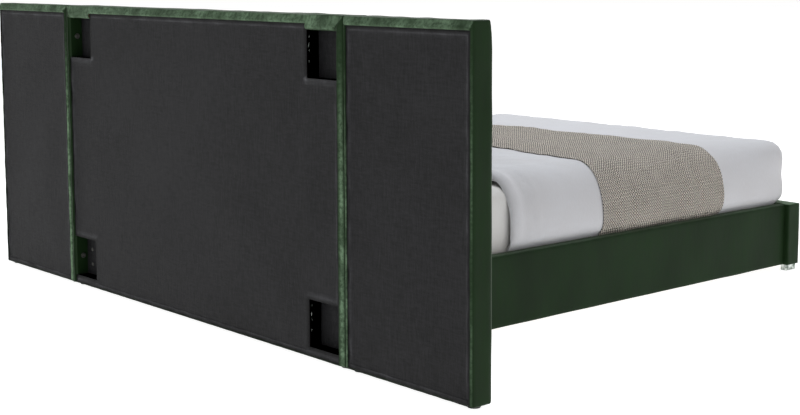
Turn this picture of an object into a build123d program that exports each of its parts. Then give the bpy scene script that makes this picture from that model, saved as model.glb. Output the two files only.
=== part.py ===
from build123d import *
import os

# Upholstered bed with a wide headboard of three bolted sections.
# Millimetres. +Z is up and z = 0 is the floor. +Y points to the headboard's back, -Y to the foot.
# The origin is the middle of the bed's footprint.

# ---- Overall sizes ----
overall_length = 2285.0
headboard_height = 1052.0
wing_width = 548.0
centre_width = 1650.0
wing_thickness = 80.0
centre_thickness = 105.0
seam_gap = 0.6

# ---- Materials' thicknesses ----
velvet = 2.0
board = 28.0
face_board = 6.0
dust_cloth = 1.0
fit_gap = 0.3
turning_gap = 0.1

# ---- Headboard frame and padding ----
glide_height = 9.0
glide_radius = 19.0
glide_inset = 30.0
glide_depth = 34.0
frame_depth = 48.0
top_rail_height = 40.0
bottom_rail_height = 29.0
pad_round = 16.0
top_return = 26.0
access_top_return = 44.0
wing_outer_return = 10.0
wing_seam_return = 13.0
centre_return = 24.0

# ---- Access recesses in the centre section's back ----
access_width = 150.0
access_high = (862.0, 1008.0)
access_low = (40.0, 188.0)

# ---- Bolts that clamp a wing to the centre ----
clamp_bolt_heights = (110.0, 939.0)
clamp_bolt_depth = 26.0
bolt_radius = 4.0
bolt_clearance = 0.5
washer_radius = 10.0
washer_thickness = 2.0
head_radius = 6.5
head_length = 5.0
socket_radius = 2.5
socket_depth = 3.0
tnut_barrel_radius = 5.5
tnut_barrel_length = 12.0
tnut_flange_radius = 10.0
tnut_flange = 2.0

# ---- Side rails ----
rail_thickness = 45.0
rail_bottom = 23.0
rail_top = 261.0
ledger_height = 40.0

# ---- Footboard and its metal foot blocks ----
footboard_overlap = 20.0
footboard_thickness = 83.0
footboard_top = 264.0
footboard_inner_board = 10.0
foot_block = (27.0, 62.0)
foot_block_inset = (10.0, 14.0)

# ---- Angle brackets between rails, headboard and footboard ----
bracket_plate = 4.0
bracket_leg = 40.0
bracket_z = (60.0, 156.0)
bracket_bolt_heights = (80.0, 136.0)
screw_radius = 3.0
screw_length = 20.0
packer_margin = 12.0

# ---- Mattress and bedding ----
mattress_width = 1524.0
mattress_length = 2032.0
mattress_height = 265.0
mattress_wall = 18.0
mattress_side_gap = 13.0
mattress_foot_gap = 32.0
mattress_corner = 60.0
mattress_edge = 40.0
mattress_lift_gap = 0.3
sheet = 2.0
sheet_hem = 60.0
coverlet_side = 22.0
coverlet_top = 12.0
coverlet_head = 700.0
tuck = 8.0
tuck_depth = 26.0
hem_gap = 1.5
throw_cloth = 3.0
throw_head = 1150.0
throw_foot = 1840.0

# ---- Slats, centre beam and its legs ----
slat_top = 225.0
slat_thickness = 18.0
slat_width = 70.0
slat_count = 13
slat_end_gap = 4.0
slat_margin = 60.0
beam_width = 38.0
beam_height = 64.0
cup_plate = 3.0
beam_end_gap = 3.0
cup_length = 40.0
leg_size = 38.0
leg_places = (520.0, 1150.0, 1780.0)
leg_bottom = 22.0
foot_pad_radius = 16.0
foot_pad_height = 8.0
stem_radius = 4.0
stem_top = 52.0
foot_travel = 12.0
insert_radius = 6.0
insert_length = 14.0

# ---- Worked out from the sizes above ----
back = overall_length / 2
half_centre = centre_width / 2
half_total = half_centre + wing_width
rail_inside = mattress_width / 2 + mattress_side_gap
half_rail = rail_inside + rail_thickness
half_footboard = half_rail + footboard_overlap
foot_inside = overall_length - footboard_thickness
slat_bottom = slat_top - slat_thickness
mattress_foot = foot_inside - mattress_foot_gap
mattress_head = mattress_foot - mattress_length
mattress_bottom = slat_top + mattress_lift_gap
mattress_top = mattress_bottom + mattress_height
# The headboard's front and the footboard's inner face, and the way each one looks in depth
walls = ((centre_thickness, 1), (foot_inside, -1))

os.makedirs("parts", exist_ok=True)


def save(name, *solids):
    """Write one node: a single solid, or several separate ones."""
    shape = solids[0] if len(solids) == 1 else Compound(children=list(solids))
    shape.label = name
    export_step(shape, f"parts/{name}.step")


def block(x, depth, z):
    """Box between two x, two depths forward of the headboard's back, and two heights."""
    size = (abs(x[1] - x[0]), abs(depth[1] - depth[0]), z[1] - z[0])
    middle = ((x[0] + x[1]) / 2, back - (depth[0] + depth[1]) / 2, (z[0] + z[1]) / 2)
    return Pos(*middle) * Box(*size)


def rod(radius, start, length, direction):
    """Cylinder from a start point (x, depth, z) along a direction in x, depth and z."""
    x, depth, z = start
    dx, dd, dz = direction
    plane = Plane(origin=(x, back - depth, z), z_dir=(dx, -dd, dz))
    return plane * Cylinder(radius, length, align=(Align.CENTER, Align.CENTER, Align.MIN))


def front_rounded(shape, radius):
    """Round the edges all around the face that looks to the foot."""
    front = shape.faces().sort_by(Axis.Y)[0]
    return fillet(front.edges(), radius)


def side_x(side, near, far):
    """x span on one side of the bed from two distances off the middle."""
    return (min(side * near, side * far), max(side * near, side * far))


def both_sides(make):
    """The same piece on the right (-X) and on the left (+X)."""
    return [make(side) for side in (-1, 1)]


# ---- Headboard ----

def section_span(side):
    """x of a section's two outer faces, lowest first: side 0 is the centre."""
    if side == 0:
        return (-half_centre, half_centre)
    inner = side * (half_centre + seam_gap)
    outer = side * half_total
    return (min(inner, outer), max(inner, outer))


def section_returns(side):
    """Width of velvet seen on the back at the section's low-x and high-x edges."""
    if side == 0:
        return (centre_return, centre_return)
    returns = (wing_outer_return, wing_seam_return)
    return returns if side < 0 else returns[::-1]


def clamp_holes(radius):
    """Four holes through both stiles and covers at each seam."""
    reach = 2 * (board + velvet) + 20
    return [
        rod(radius, (side * (half_centre - reach / 2), clamp_bolt_depth, z), reach, (side, 0, 0))
        for side in (-1, 1)
        for z in clamp_bolt_heights
    ]


def bracket_holes(radius):
    """Two holes on each side where a rail bracket is bolted through the headboard's front."""
    x = rail_inside - bracket_leg / 2
    return [
        rod(radius, (side * x, frame_depth, z), centre_thickness, (0, 1, 0))
        for side in (-1, 1)
        for z in bracket_bolt_heights
    ]


def frame_z():
    """Lowest and highest z of a section's timber frame."""
    return (glide_height + velvet, headboard_height - velvet)


def drilled(body, holes):
    """A piece with each of some holes cut through it."""
    for hole in holes:
        body = body - hole
    return body


def stile(x, holes):
    return drilled(block(x, (velvet, frame_depth), frame_z()), holes)


def tnut_holes(side):
    """Wider holes for the T-nut barrels, in a wing's stile beside the seam."""
    face = side * (half_centre + seam_gap + velvet + board)
    radius = tnut_barrel_radius + turning_gap
    return [
        rod(radius, (face, clamp_bolt_depth, z), tnut_barrel_length, (-side, 0, 0))
        for z in clamp_bolt_heights
    ]


def section_frame(name, side):
    low, high = section_span(side)
    x0, x1 = low + velvet, high - velvet
    z0, z1 = frame_z()
    depth = (velvet, frame_depth)
    holes = clamp_holes(bolt_radius + bolt_clearance)
    if side:
        holes += tnut_holes(side)
    save(f"{name}_right_stile", stile((x0, x0 + board), holes))
    save(f"{name}_left_stile", stile((x1 - board, x1), holes))
    between = (x0 + board, x1 - board)
    save(f"{name}_top_rail", block(between, depth, (z1 - top_rail_height, z1)))
    save(f"{name}_bottom_rail", block(between, depth, (z0, z0 + bottom_rail_height)))


def packer_blocks(grow=0.0):
    """Timber blocks in the centre's foam: one behind each rail bracket and one behind the beam cup."""
    depth = (frame_depth + face_board, centre_thickness - velvet)
    x = (rail_inside - bracket_leg - packer_margin - grow, rail_inside + packer_margin + grow)
    z = (bracket_z[0] - packer_margin - grow, bracket_z[1] + packer_margin + grow)
    beam_x = beam_width / 2 + cup_plate + packer_margin + grow
    beam_z = (slat_bottom - beam_height - packer_margin - grow, slat_bottom + grow)
    return [
        block((-x[1], -x[0]), depth, z),
        block((x[0], x[1]), depth, z),
        block((-beam_x, beam_x), depth, beam_z),
    ]


def section_padding(name, side, thickness):
    low, high = section_span(side)
    x = (low + velvet, high - velvet)
    z = frame_z()
    face_back = frame_depth
    face_front = face_back + face_board
    panel = block(x, (face_back, face_front), z)
    pad = front_rounded(block(x, (face_front, thickness - velvet), z), pad_round)
    if side == 0:
        panel = drilled(panel, bracket_holes(bolt_radius + bolt_clearance))
        pad = drilled(pad, packer_blocks(fit_gap))
    save(f"{name}_face_board", panel)
    save(f"{name}_foam_pad", pad)


def access_columns():
    """x spans of the right and the left column of recesses."""
    edge = half_centre - centre_return
    return [(-edge, -edge + access_width), (edge - access_width, edge)]


def section_cover(name, side, thickness):
    low, high = section_span(side)
    low_return, high_return = section_returns(side)
    outer = front_rounded(
        block((low, high), (0, thickness), (glide_height, headboard_height)), pad_round + velvet
    )
    inner = front_rounded(
        block((low + velvet, high - velvet), (velvet, thickness - velvet), frame_z()), pad_round
    )
    cover = outer - inner
    x = (low + low_return, high - high_return)
    top = headboard_height - top_return
    window = block(x, (-1, velvet), (glide_height - 1, top))
    holes = clamp_holes(bolt_radius + bolt_clearance)
    if side == 0:
        tab_z = (headboard_height - access_top_return, top)
        window = drilled(window, [block(column, (-2, velvet + 1), tab_z) for column in access_columns()])
        holes += bracket_holes(bolt_radius + bolt_clearance)
        holes.append(cup_screw(centre_thickness, 1, screw_radius + turning_gap))
    save(f"{name}_velvet_cover", drilled(cover - window, holes))


def section_dust_cover(name, side):
    low, high = section_span(side)
    low_return, high_return = section_returns(side)
    x = (low + low_return, high - high_return)
    top = headboard_height - top_return
    cloth = block(x, (velvet - dust_cloth, velvet), (glide_height, top))
    if side == 0:
        for column in access_columns():
            for z in (access_low, (access_high[0], top + 1)):
                cloth = cloth - block(column, (-1, velvet + 1), z)
    save(f"{name}_dust_cover", cloth)


def centre_studs_and_blocks():
    """Inner uprights beside the recesses, and the short blocks that close them above and below."""
    z0, z1 = frame_z()
    z = (z0 + bottom_rail_height, z1 - top_rail_height)
    edge = half_centre - centre_return - access_width
    depth = (velvet, frame_depth)
    save("centre_studs", *both_sides(lambda side: block(side_x(side, edge - board, edge), depth, z)))
    stile_face = half_centre - velvet - board
    blocks = []
    for x in ((-stile_face, -edge), (edge, stile_face)):
        blocks.append(block(x, depth, (access_low[1], access_low[1] + board)))
        blocks.append(block(x, depth, (access_high[0] - board, access_high[0])))
    save("centre_access_blocks", *blocks)


def glides():
    depth = glide_depth
    places = [half_centre - glide_inset, half_centre + seam_gap + glide_inset, half_total - glide_inset]
    feet = [
        rod(glide_radius, (side * x, depth, 0), glide_height, (0, 0, 1))
        for side in (-1, 1)
        for x in places
    ]
    save("headboard_glides", *[chamfer(foot.edges().sort_by(Axis.Z)[0], 1.0) for foot in feet])


def clamp_fasteners():
    """Bolt, washer and T-nut at each of the four clamping points."""
    stile_face = half_centre - velvet - board
    nut_face = half_centre + seam_gap + velvet + board
    bolts, washers, nuts = [], [], []
    for side in (-1, 1):
        for z in clamp_bolt_heights:
            seat = stile_face - washer_thickness
            shaft_length = nut_face - seat + tnut_flange
            start = (side * seat, clamp_bolt_depth, z)
            shaft = rod(bolt_radius, start, shaft_length, (side, 0, 0))
            head = rod(head_radius, start, head_length, (-side, 0, 0))
            mouth = (side * (seat - head_length), clamp_bolt_depth, z)
            socket = rod(socket_radius, mouth, socket_depth, (side, 0, 0))
            bolts.append(shaft + head - socket)
            hole = rod(bolt_radius + turning_gap, start, shaft_length, (side, 0, 0))
            washers.append(rod(washer_radius, start, washer_thickness, (side, 0, 0)) - hole)
            face = (side * nut_face, clamp_bolt_depth, z)
            barrel = rod(tnut_barrel_radius, face, tnut_barrel_length, (-side, 0, 0))
            flange = rod(tnut_flange_radius, face, tnut_flange, (side, 0, 0))
            nuts.append(barrel + flange - hole)
    save("clamp_bolts", *bolts)
    save("clamp_washers", *washers)
    save("clamp_tnuts", *nuts)


def headboard():
    for name, side, thickness in (
        ("right_wing", -1, wing_thickness),
        ("centre", 0, centre_thickness),
        ("left_wing", 1, wing_thickness),
    ):
        section_frame(name, side)
        section_padding(name, side, thickness)
        section_cover(name, side, thickness)
        section_dust_cover(name, side)
    centre_studs_and_blocks()
    glides()
    clamp_fasteners()
    holes = bracket_holes(bolt_radius + bolt_clearance)
    holes.append(cup_screw(centre_thickness, 1, screw_radius + turning_gap))
    save("headboard_packers", *[drilled(packer, holes) for packer in packer_blocks()])


# ---- Side rails ----

def rail_depths():
    return (centre_thickness + fit_gap, foot_inside - fit_gap)


def bracket_screw_holes(side):
    """Pilot holes in one rail for the screws of its two brackets."""
    length = screw_length - bracket_plate + 1
    return [
        rod(screw_radius + turning_gap, (side * (rail_inside - 1), wall + away * bracket_leg / 2, z),
            length, (side, 0, 0))
        for wall, away in walls
        for z in bracket_bolt_heights
    ]


def side_rail(name, side):
    z = (rail_bottom + velvet, rail_top - velvet)
    inner = rail_inside + velvet
    depth = rail_depths()
    holes = bracket_screw_holes(side)
    timber = block(side_x(side, inner, inner + board), depth, z)
    save(f"{name}_rail_board", drilled(timber, holes))
    skin = block(side_x(side, rail_inside, half_rail), depth, (rail_bottom, rail_top))
    skin = skin - block(side_x(side, inner, half_rail - velvet), (0, overall_length), z)
    save(f"{name}_rail_cover", drilled(skin, holes))


def rail_foams_and_ledgers():
    """Foam on each rail's outer face, and on its inner face the timber ledger that carries the slats."""
    depth = rail_depths()
    z = (rail_bottom + velvet, rail_top - velvet)
    foam = (rail_inside + velvet + board, half_rail - velvet)
    save("rail_foams", *both_sides(lambda side: block(side_x(side, *foam), depth, z)))
    inset = bracket_plate + fit_gap
    depth = (depth[0] + inset, depth[1] - inset)
    z = (slat_bottom - ledger_height, slat_bottom)
    ledger = (rail_inside - board, rail_inside)
    save("ledgers", *both_sides(lambda side: block(side_x(side, *ledger), depth, z)))


def bracket(side, wall, away):
    """Steel angle: one flange on the headboard or footboard, one on the rail."""
    flange_x = side_x(side, rail_inside - bracket_leg, rail_inside)
    flange = block(flange_x, sorted((wall, wall + away * bracket_plate)), bracket_z)
    leg_x = side_x(side, rail_inside - bracket_plate, rail_inside)
    leg = block(leg_x, sorted((wall, wall + away * bracket_leg)), bracket_z)
    body = flange + leg
    x = rail_inside - bracket_leg / 2
    for z in bracket_bolt_heights:
        hole = bolt_radius + bolt_clearance
        body = body - rod(hole, (side * x, wall - away, z), bracket_plate + 2, (0, away, 0))
        screw = (side * (rail_inside - bracket_plate - 1), wall + away * bracket_leg / 2, z)
        body = body - rod(screw_radius + turning_gap, screw, bracket_plate + 1, (side, 0, 0))
    return body


def bracket_fasteners(side, wall, away, grip):
    """Bolts with nuts through the wall, and screws into the rail board."""
    bolts, nuts, screws = [], [], []
    x = rail_inside - bracket_leg / 2
    for z in bracket_bolt_heights:
        seat = wall + away * bracket_plate
        start = (side * x, seat, z)
        length = bracket_plate + grip + head_length
        shaft = rod(bolt_radius, start, length, (0, -away, 0))
        bolts.append(shaft + rod(head_radius, start, head_length, (0, away, 0)))
        hole = rod(bolt_radius + turning_gap, start, length, (0, -away, 0))
        nut_start = (side * x, wall - away * grip, z)
        nuts.append(rod(head_radius, nut_start, head_length, (0, -away, 0)) - hole)
        screw = (side * (rail_inside - bracket_plate), wall + away * bracket_leg / 2, z)
        thread = rod(screw_radius, screw, screw_length, (side, 0, 0))
        screws.append(thread + rod(screw_radius * 2, screw, 2, (-side, 0, 0)))
    return bolts, nuts, screws


def rail_joints():
    """Brackets with their bolts and nuts; the screws are returned, to share a node with the cups'."""
    grips = (centre_thickness - frame_depth, velvet + footboard_inner_board)
    brackets, bolts, nuts, screws = [], [], [], []
    for side in (-1, 1):
        for (wall, away), grip in zip(walls, grips):
            brackets.append(bracket(side, wall, away))
            made = bracket_fasteners(side, wall, away, grip)
            bolts += made[0]
            nuts += made[1]
            screws += made[2]
    save("rail_brackets", *brackets)
    save("bracket_bolts", *bolts)
    save("bracket_nuts", *nuts)
    return screws


# ---- Footboard ----

def footboard():
    half = half_footboard
    x = (-half + velvet, half - velvet)
    z = (rail_bottom + velvet, footboard_top - velvet)
    inner = (foot_inside + velvet, foot_inside + velvet + footboard_inner_board)
    frame = (inner[1], inner[1] + frame_depth - velvet)
    foam = (frame[1], overall_length - velvet)
    holes = [
        rod(bolt_radius + bolt_clearance, (side * (rail_inside - bracket_leg / 2), foot_inside - 1, height),
            footboard_inner_board + velvet + 2, (0, 1, 0))
        for side in (-1, 1)
        for height in bracket_bolt_heights
    ]
    holes.append(cup_screw(foot_inside, -1, screw_radius + turning_gap))
    save("footboard_inner_board", drilled(block(x, inner, z), holes))
    rails = [block(x, frame, (low, low + board)) for low in (z[0], z[1] - board)]
    save("footboard_rails", *rails)
    upright = (z[0] + board, z[1] - board)
    ends = [x[0], -board / 2, x[1] - board]
    save("footboard_stiles", *[block((start, start + board), frame, upright) for start in ends])
    save("footboard_foam", front_rounded(block(x, foam, z), pad_round))
    outer = block((-half, half), (foot_inside, overall_length), (rail_bottom, footboard_top))
    cover = front_rounded(outer, pad_round + velvet)
    cover = cover - front_rounded(block(x, (inner[0], foam[1]), z), pad_round)
    save("footboard_velvet_cover", drilled(cover, holes))


def foot_blocks():
    width, length = foot_block
    far = half_footboard - foot_block_inset[0]
    end = overall_length - foot_block_inset[1]
    pieces = both_sides(
        lambda side: block(side_x(side, far - width, far), (end - length, end), (0, rail_bottom))
    )
    save("foot_blocks", *[chamfer(piece.edges().filter_by(Axis.Z), 1.0) for piece in pieces])


# ---- Slats, centre beam and legs ----

def slats():
    first = centre_thickness + slat_margin
    last = foot_inside - slat_margin - slat_width
    step = (last - first) / (slat_count - 1)
    half = rail_inside - slat_end_gap
    save("slats", *[
        block((-half, half), (first + i * step, first + i * step + slat_width), (slat_bottom, slat_top))
        for i in range(slat_count)
    ])


def beam_cup(wall, away):
    """U-shaped steel cup that carries one end of the beam."""
    half = beam_width / 2 + cup_plate + fit_gap
    z = (slat_bottom - beam_height - cup_plate, slat_bottom - 2)
    depth = sorted((wall, wall + away * cup_length))
    body = block((-half, half), depth, z)
    inner = sorted((wall + away * cup_plate, wall + away * (cup_length + 1)))
    room = half - cup_plate
    body = body - block((-room, room), inner, (slat_bottom - beam_height, slat_bottom))
    return body - cup_screw(wall, away, screw_radius + turning_gap)


def cup_screw(wall, away, radius):
    """Shank of the screw through the cup's back plate into the wall behind it."""
    z = slat_bottom - beam_height / 2
    start = (0, wall + away * cup_plate, z)
    return rod(radius, start, cup_plate + footboard_inner_board + velvet, (0, -away, 0))


def beam():
    """Centre beam and its cups; the cups' screws are returned."""
    gap = cup_plate + beam_end_gap
    depth = (centre_thickness + gap, foot_inside - gap)
    half = beam_width / 2
    save("centre_beam", block((-half, half), depth, (slat_bottom - beam_height, slat_bottom)))
    save("beam_cups", *[beam_cup(wall, away) for wall, away in walls])
    screws = []
    for wall, away in walls:
        z = slat_bottom - beam_height / 2
        head = rod(screw_radius * 2, (0, wall + away * cup_plate, z), 2, (0, away, 0))
        screws.append(cup_screw(wall, away, screw_radius) + head)
    return screws


def leg_insert_seat(depth):
    return rod(insert_radius, (0, depth, leg_bottom), insert_length, (0, 0, 1))


def support_leg(depth):
    """Timber post under the beam, bored for its levelling foot."""
    half = leg_size / 2
    leg_z = (leg_bottom, slat_bottom - beam_height)
    leg = block((-half, half), (depth - half, depth + half), leg_z)
    bore_length = stem_top + foot_travel + turning_gap - leg_bottom
    bore = rod(stem_radius + bolt_clearance, (0, depth, leg_bottom), bore_length, (0, 0, 1))
    return leg - bore - leg_insert_seat(depth)


def leg_insert(depth):
    thread = rod(stem_radius + turning_gap, (0, depth, 0), leg_bottom + insert_length + 1, (0, 0, 1))
    return leg_insert_seat(depth) - thread


def levelling_foot(depth):
    pad = rod(foot_pad_radius, (0, depth, 0), foot_pad_height, (0, 0, 1))
    pad = chamfer(pad.edges().sort_by(Axis.Z)[0], 1.0)
    stem = rod(stem_radius, (0, depth, foot_pad_height), stem_top - foot_pad_height, (0, 0, 1))
    return pad + stem


def legs():
    save("support_legs", *[support_leg(depth) for depth in leg_places])
    save("leg_inserts", *[leg_insert(depth) for depth in leg_places])
    for name, depth in zip(("head", "middle", "foot"), leg_places):
        save(f"levelling_foot_{name}", levelling_foot(depth))


# ---- Mattress and bedding ----

def soft_block(grow_x, grow_foot, z, corner, edge, head):
    """Rounded block around the mattress, from a depth at the head to just past its foot."""
    half = mattress_width / 2 + grow_x
    body = block((-half, half), (head, mattress_foot + grow_foot), z)
    foot_corners = body.edges().filter_by(Axis.Z).group_by(Axis.Y)[0]
    body = fillet(foot_corners, corner)
    top = body.faces().sort_by(Axis.Z)[-1]
    head_line = top.edges().sort_by(Axis.Y)[-1]
    rounded = [line for line in top.edges() if line != head_line]
    return fillet(rounded, edge)


def mattress():
    z = (mattress_bottom, mattress_top)
    outer = soft_block(0, 0, z, mattress_corner, mattress_edge, mattress_head)
    half = mattress_width / 2 - mattress_wall
    hollow = block(
        (-half, half),
        (mattress_head + mattress_wall, mattress_foot - mattress_wall),
        (z[0] + mattress_wall, z[1] - mattress_wall),
    )
    hollow = fillet(hollow.edges().filter_by(Axis.Z), mattress_corner)
    save("mattress", outer - hollow)


def fitted_sheet():
    z = (mattress_bottom + sheet_hem, mattress_top + sheet)
    corner, edge = mattress_corner + sheet, mattress_edge + sheet
    outer = soft_block(sheet, sheet, z, corner, edge, mattress_head - sheet)
    inner_z = (mattress_bottom - 5, mattress_top)
    inner = soft_block(0, 0, inner_z, mattress_corner, mattress_edge, mattress_head)
    save("fitted_sheet", outer - inner)


def draped(head, foot_growth, side, top, inner_side, inner_top, hem):
    """Shell over the bedding below it, open at the head and underneath."""
    z_top = mattress_top + top
    corner = mattress_corner + side
    edge = mattress_edge + min(side, top)
    outer = soft_block(side, foot_growth, (hem, z_top), corner, edge, head)
    inner_z = (hem - 50, mattress_top + inner_top)
    inner_edge = mattress_edge + inner_top
    inner = soft_block(inner_side, inner_side, inner_z, mattress_corner + inner_side,
                       inner_edge, mattress_head - 50)
    return outer - inner


def coverlet():
    hem = rail_top + hem_gap
    shell = draped(coverlet_head, coverlet_side, coverlet_side, sheet + coverlet_top, sheet, sheet, hem)
    flap_z = (rail_top - tuck_depth, hem)
    outer = soft_block(sheet + tuck, sheet + tuck, (flap_z[0], mattress_top),
                       mattress_corner + sheet + tuck, mattress_edge, coverlet_head)
    inner = soft_block(sheet, sheet, (flap_z[0] - 50, mattress_top + 50),
                       mattress_corner + sheet, mattress_edge, mattress_head - 50)
    slab = block((-half_total, half_total), (0, overall_length), flap_z)
    flap = (outer & slab) - inner
    save("coverlet", (shell + flap).solids()[0])


def throw():
    hem = rail_top + hem_gap
    top = sheet + coverlet_top
    side = coverlet_side + throw_cloth
    sheet_over = draped(coverlet_head, side, side, top + throw_cloth, coverlet_side, top, hem)
    band = block((-half_total, half_total), (throw_head, throw_foot), (0, headboard_height))
    save("throw", (sheet_over & band).solids()[0])


headboard()
side_rail("right", -1)
side_rail("left", 1)
rail_foams_and_ledgers()
footboard()
foot_blocks()
slats()
save("wood_screws", *rail_joints(), *beam())
legs()
mattress()
fitted_sheet()
coverlet()
throw()
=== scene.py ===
"""Upholstered bed with a wide headboard of three bolted sections.

Makes the velvet covers, the padding, the black dust covers, the bedding and every finish
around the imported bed, and a plain studio to look at it in.
"""
from math import cos, pi, radians, sin

import bmesh
import bpy
import numpy as np
from bpy.props import FloatProperty, FloatVectorProperty, PointerProperty
from mathutils import Matrix, Vector


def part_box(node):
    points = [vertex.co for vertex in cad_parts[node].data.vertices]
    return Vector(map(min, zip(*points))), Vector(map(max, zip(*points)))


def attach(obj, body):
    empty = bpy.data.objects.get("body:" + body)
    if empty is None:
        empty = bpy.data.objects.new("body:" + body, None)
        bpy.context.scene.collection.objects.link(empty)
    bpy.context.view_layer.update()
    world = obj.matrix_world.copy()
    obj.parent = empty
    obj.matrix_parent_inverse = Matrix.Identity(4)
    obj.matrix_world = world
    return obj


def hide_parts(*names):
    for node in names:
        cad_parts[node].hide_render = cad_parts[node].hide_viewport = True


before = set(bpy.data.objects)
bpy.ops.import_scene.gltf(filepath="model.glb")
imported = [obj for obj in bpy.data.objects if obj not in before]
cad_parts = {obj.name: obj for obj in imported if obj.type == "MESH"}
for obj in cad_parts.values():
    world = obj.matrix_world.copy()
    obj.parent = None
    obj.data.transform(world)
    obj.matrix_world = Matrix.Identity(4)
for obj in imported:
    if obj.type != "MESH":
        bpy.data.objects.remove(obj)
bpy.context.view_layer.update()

bl_info = {
    "name": "Upholstered Headboard Bed",
    "version": (1, 0, 0),
    "blender": (4, 5, 0),
    "location": "View3D > Sidebar > Bed",
    "description": "Builds the covers, padding, bedding and finishes of a bed with a wide headboard",
    "category": "Object",
}

SECTIONS = ("right_wing", "centre", "left_wing")
SIDES = {"right": -1, "left": 1}
X, Y, Z = range(3)

# Thicknesses of the cloths.
VELVET_CLOTH = 0.002
DUST_CLOTH = 0.0006
SHEET_COTTON = 0.0012
THROW_YARN = 0.002

UNDER_ROLL = 0.006  # how far the dust cloth runs under the roll of velvet round it
TAB_RETURN = 0.018  # how much further down the velvet comes over a recess
BAND_STEPS = (0.009, 0.013, 0.017, 0.021)  # cuts that let the velvet roll up round the back
SILL_STEPS = (0.003, 0.008, 0.012, 0.016, 0.02)  # cuts that let a painted highlight run along a recess's sill
CLOTH_FRAMES = 20  # how long the coverlet settles
CLOTH_CAP = 0.008  # how far the coverlet may settle at most


# ---- Modelling helpers ----

def deselect():
    """Object mode with nothing selected, because an operator acts on all that is."""
    if bpy.context.object and bpy.context.object.mode != "OBJECT":
        bpy.ops.object.mode_set(mode="OBJECT")
    bpy.ops.object.select_all(action="DESELECT")


def activate(piece):
    deselect()
    piece.select_set(True)
    bpy.context.view_layer.objects.active = piece


def edit(piece):
    activate(piece)
    bpy.ops.object.mode_set(mode="EDIT")


def settle(name):
    """Puts a new primitive's place, turn and size in its mesh, and names it."""
    piece = bpy.context.object
    piece.name = piece.data.name = name
    bpy.ops.object.transform_apply(location=True, rotation=True, scale=True)
    return piece


def cuboid(name, low, high):
    """A box between two corners."""
    deselect()
    middle = [(a + b) / 2 for a, b in zip(low, high)]
    size = [b - a for a, b in zip(low, high)]
    bpy.ops.mesh.primitive_cube_add(size=1, location=middle, scale=size)
    return settle(name)


def upright_cloth(name, x, y, z, cell):
    """A flat net of square faces that look to the headboard's back, between two x and two z."""
    deselect()
    width, height = x[1] - x[0], z[1] - z[0]
    bpy.ops.mesh.primitive_grid_add(
        x_subdivisions=max(1, round(width / cell)),
        y_subdivisions=max(1, round(height / cell)),
        size=1,
        location=((x[0] + x[1]) / 2, y, (z[0] + z[1]) / 2),
        rotation=(-pi / 2, 0, 0),
    )
    bpy.context.object.scale = (width, height, 1)
    return settle(name)


def middle(item):
    """The middle of a vertex, an edge or a face."""
    if isinstance(item, bmesh.types.BMVert):
        return item.co
    if isinstance(item, bmesh.types.BMEdge):
        return (item.verts[0].co + item.verts[1].co) / 2
    return item.calc_center_median()


def choose(kind, test):
    """In edit mode, selects just the vertices, edges or faces that pass a test."""
    bpy.ops.mesh.select_mode(type=kind)
    bpy.ops.mesh.select_all(action="DESELECT")
    mesh = bmesh.from_edit_mesh(bpy.context.object.data)
    for item in {"VERT": mesh.verts, "EDGE": mesh.edges, "FACE": mesh.faces}[kind]:
        if test(item):
            item.select_set(True)
    bmesh.update_edit_mesh(bpy.context.object.data)


def near(a, b, slack=1e-4):
    return abs(a - b) < slack


def lies_in(edge, axis, place):
    """Whether an edge lies in the plane across an axis at a place."""
    return all(near(vert.co[axis], place) for vert in edge.verts)


def runs_along(edge, axis, at_least=0.02):
    """Whether an edge runs along an axis, and isn't one of a bevel's small ones."""
    line = edge.verts[1].co - edge.verts[0].co
    return abs(line[axis]) > at_least and abs(line[axis]) > 0.99 * line.length


def bevel(radius, segments, test):
    """In edit mode, rounds the edges that pass a test."""
    choose("EDGE", test)
    bpy.ops.mesh.bevel(offset=radius, segments=segments, affect="EDGES", profile=0.5)


def slice_up(axis, places):
    """In edit mode, cuts through the whole piece square to an axis at each place."""
    direction = [float(i == axis) for i in range(3)]
    for place in places:
        bpy.ops.mesh.select_all(action="SELECT")
        bpy.ops.mesh.bisect(plane_co=[place * way for way in direction], plane_no=direction)


def pull_edges(x, y):
    """In edit mode, draws a new row of faces out of the chosen edges."""
    bpy.ops.mesh.extrude_edges_move(TRANSFORM_OT_translate={"value": (x, y, 0)})


def remove_faces(test):
    choose("FACE", test)
    bpy.ops.mesh.delete(type="FACE")


def steps(low, high, about):
    """Places that cut a span into equal parts about so long, without its ends."""
    count = max(1, round((high - low) / about))
    return [low + (high - low) * i / count for i in range(1, count)]


def finish_with(piece, kind, **settings):
    """Adds a modifier and applies it."""
    activate(piece)
    modifier = piece.modifiers.new(kind.title(), kind)
    for name, setting in settings.items():
        setattr(modifier, name, setting)
    bpy.ops.object.modifier_apply(modifier=modifier.name)


def subdivide(piece, levels=1, kind="CATMULL_CLARK"):
    finish_with(piece, "SUBSURF", levels=levels, render_levels=levels, subdivision_type=kind)


def thicken(piece, thickness, offset=-1.0):
    """Gives a skin its cloth's thickness, inwards unless offset says otherwise."""
    finish_with(piece, "SOLIDIFY", thickness=thickness, offset=offset, use_even_offset=True)


def read(piece, what="co"):
    """The places or the normals of a piece's vertices."""
    values = np.empty(len(piece.data.vertices) * 3)
    if what == "co":
        piece.data.vertices.foreach_get("co", values)
    else:
        piece.data.vertex_normals.foreach_get("vector", values)
    return values.reshape(-1, 3)


def reshape(piece, move):
    """Moves a piece's vertices to what move(places, normals) gives."""
    deselect()
    places = move(read(piece).copy(), read(piece, "normal"))
    piece.data.vertices.foreach_set("co", np.ascontiguousarray(places).ravel())
    piece.data.update()


def copy_of(piece, name):
    """A copy with its own mesh."""
    activate(piece)
    bpy.ops.object.duplicate(linked=False)
    copy = bpy.context.object
    copy.name = copy.data.name = name
    return copy


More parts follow.
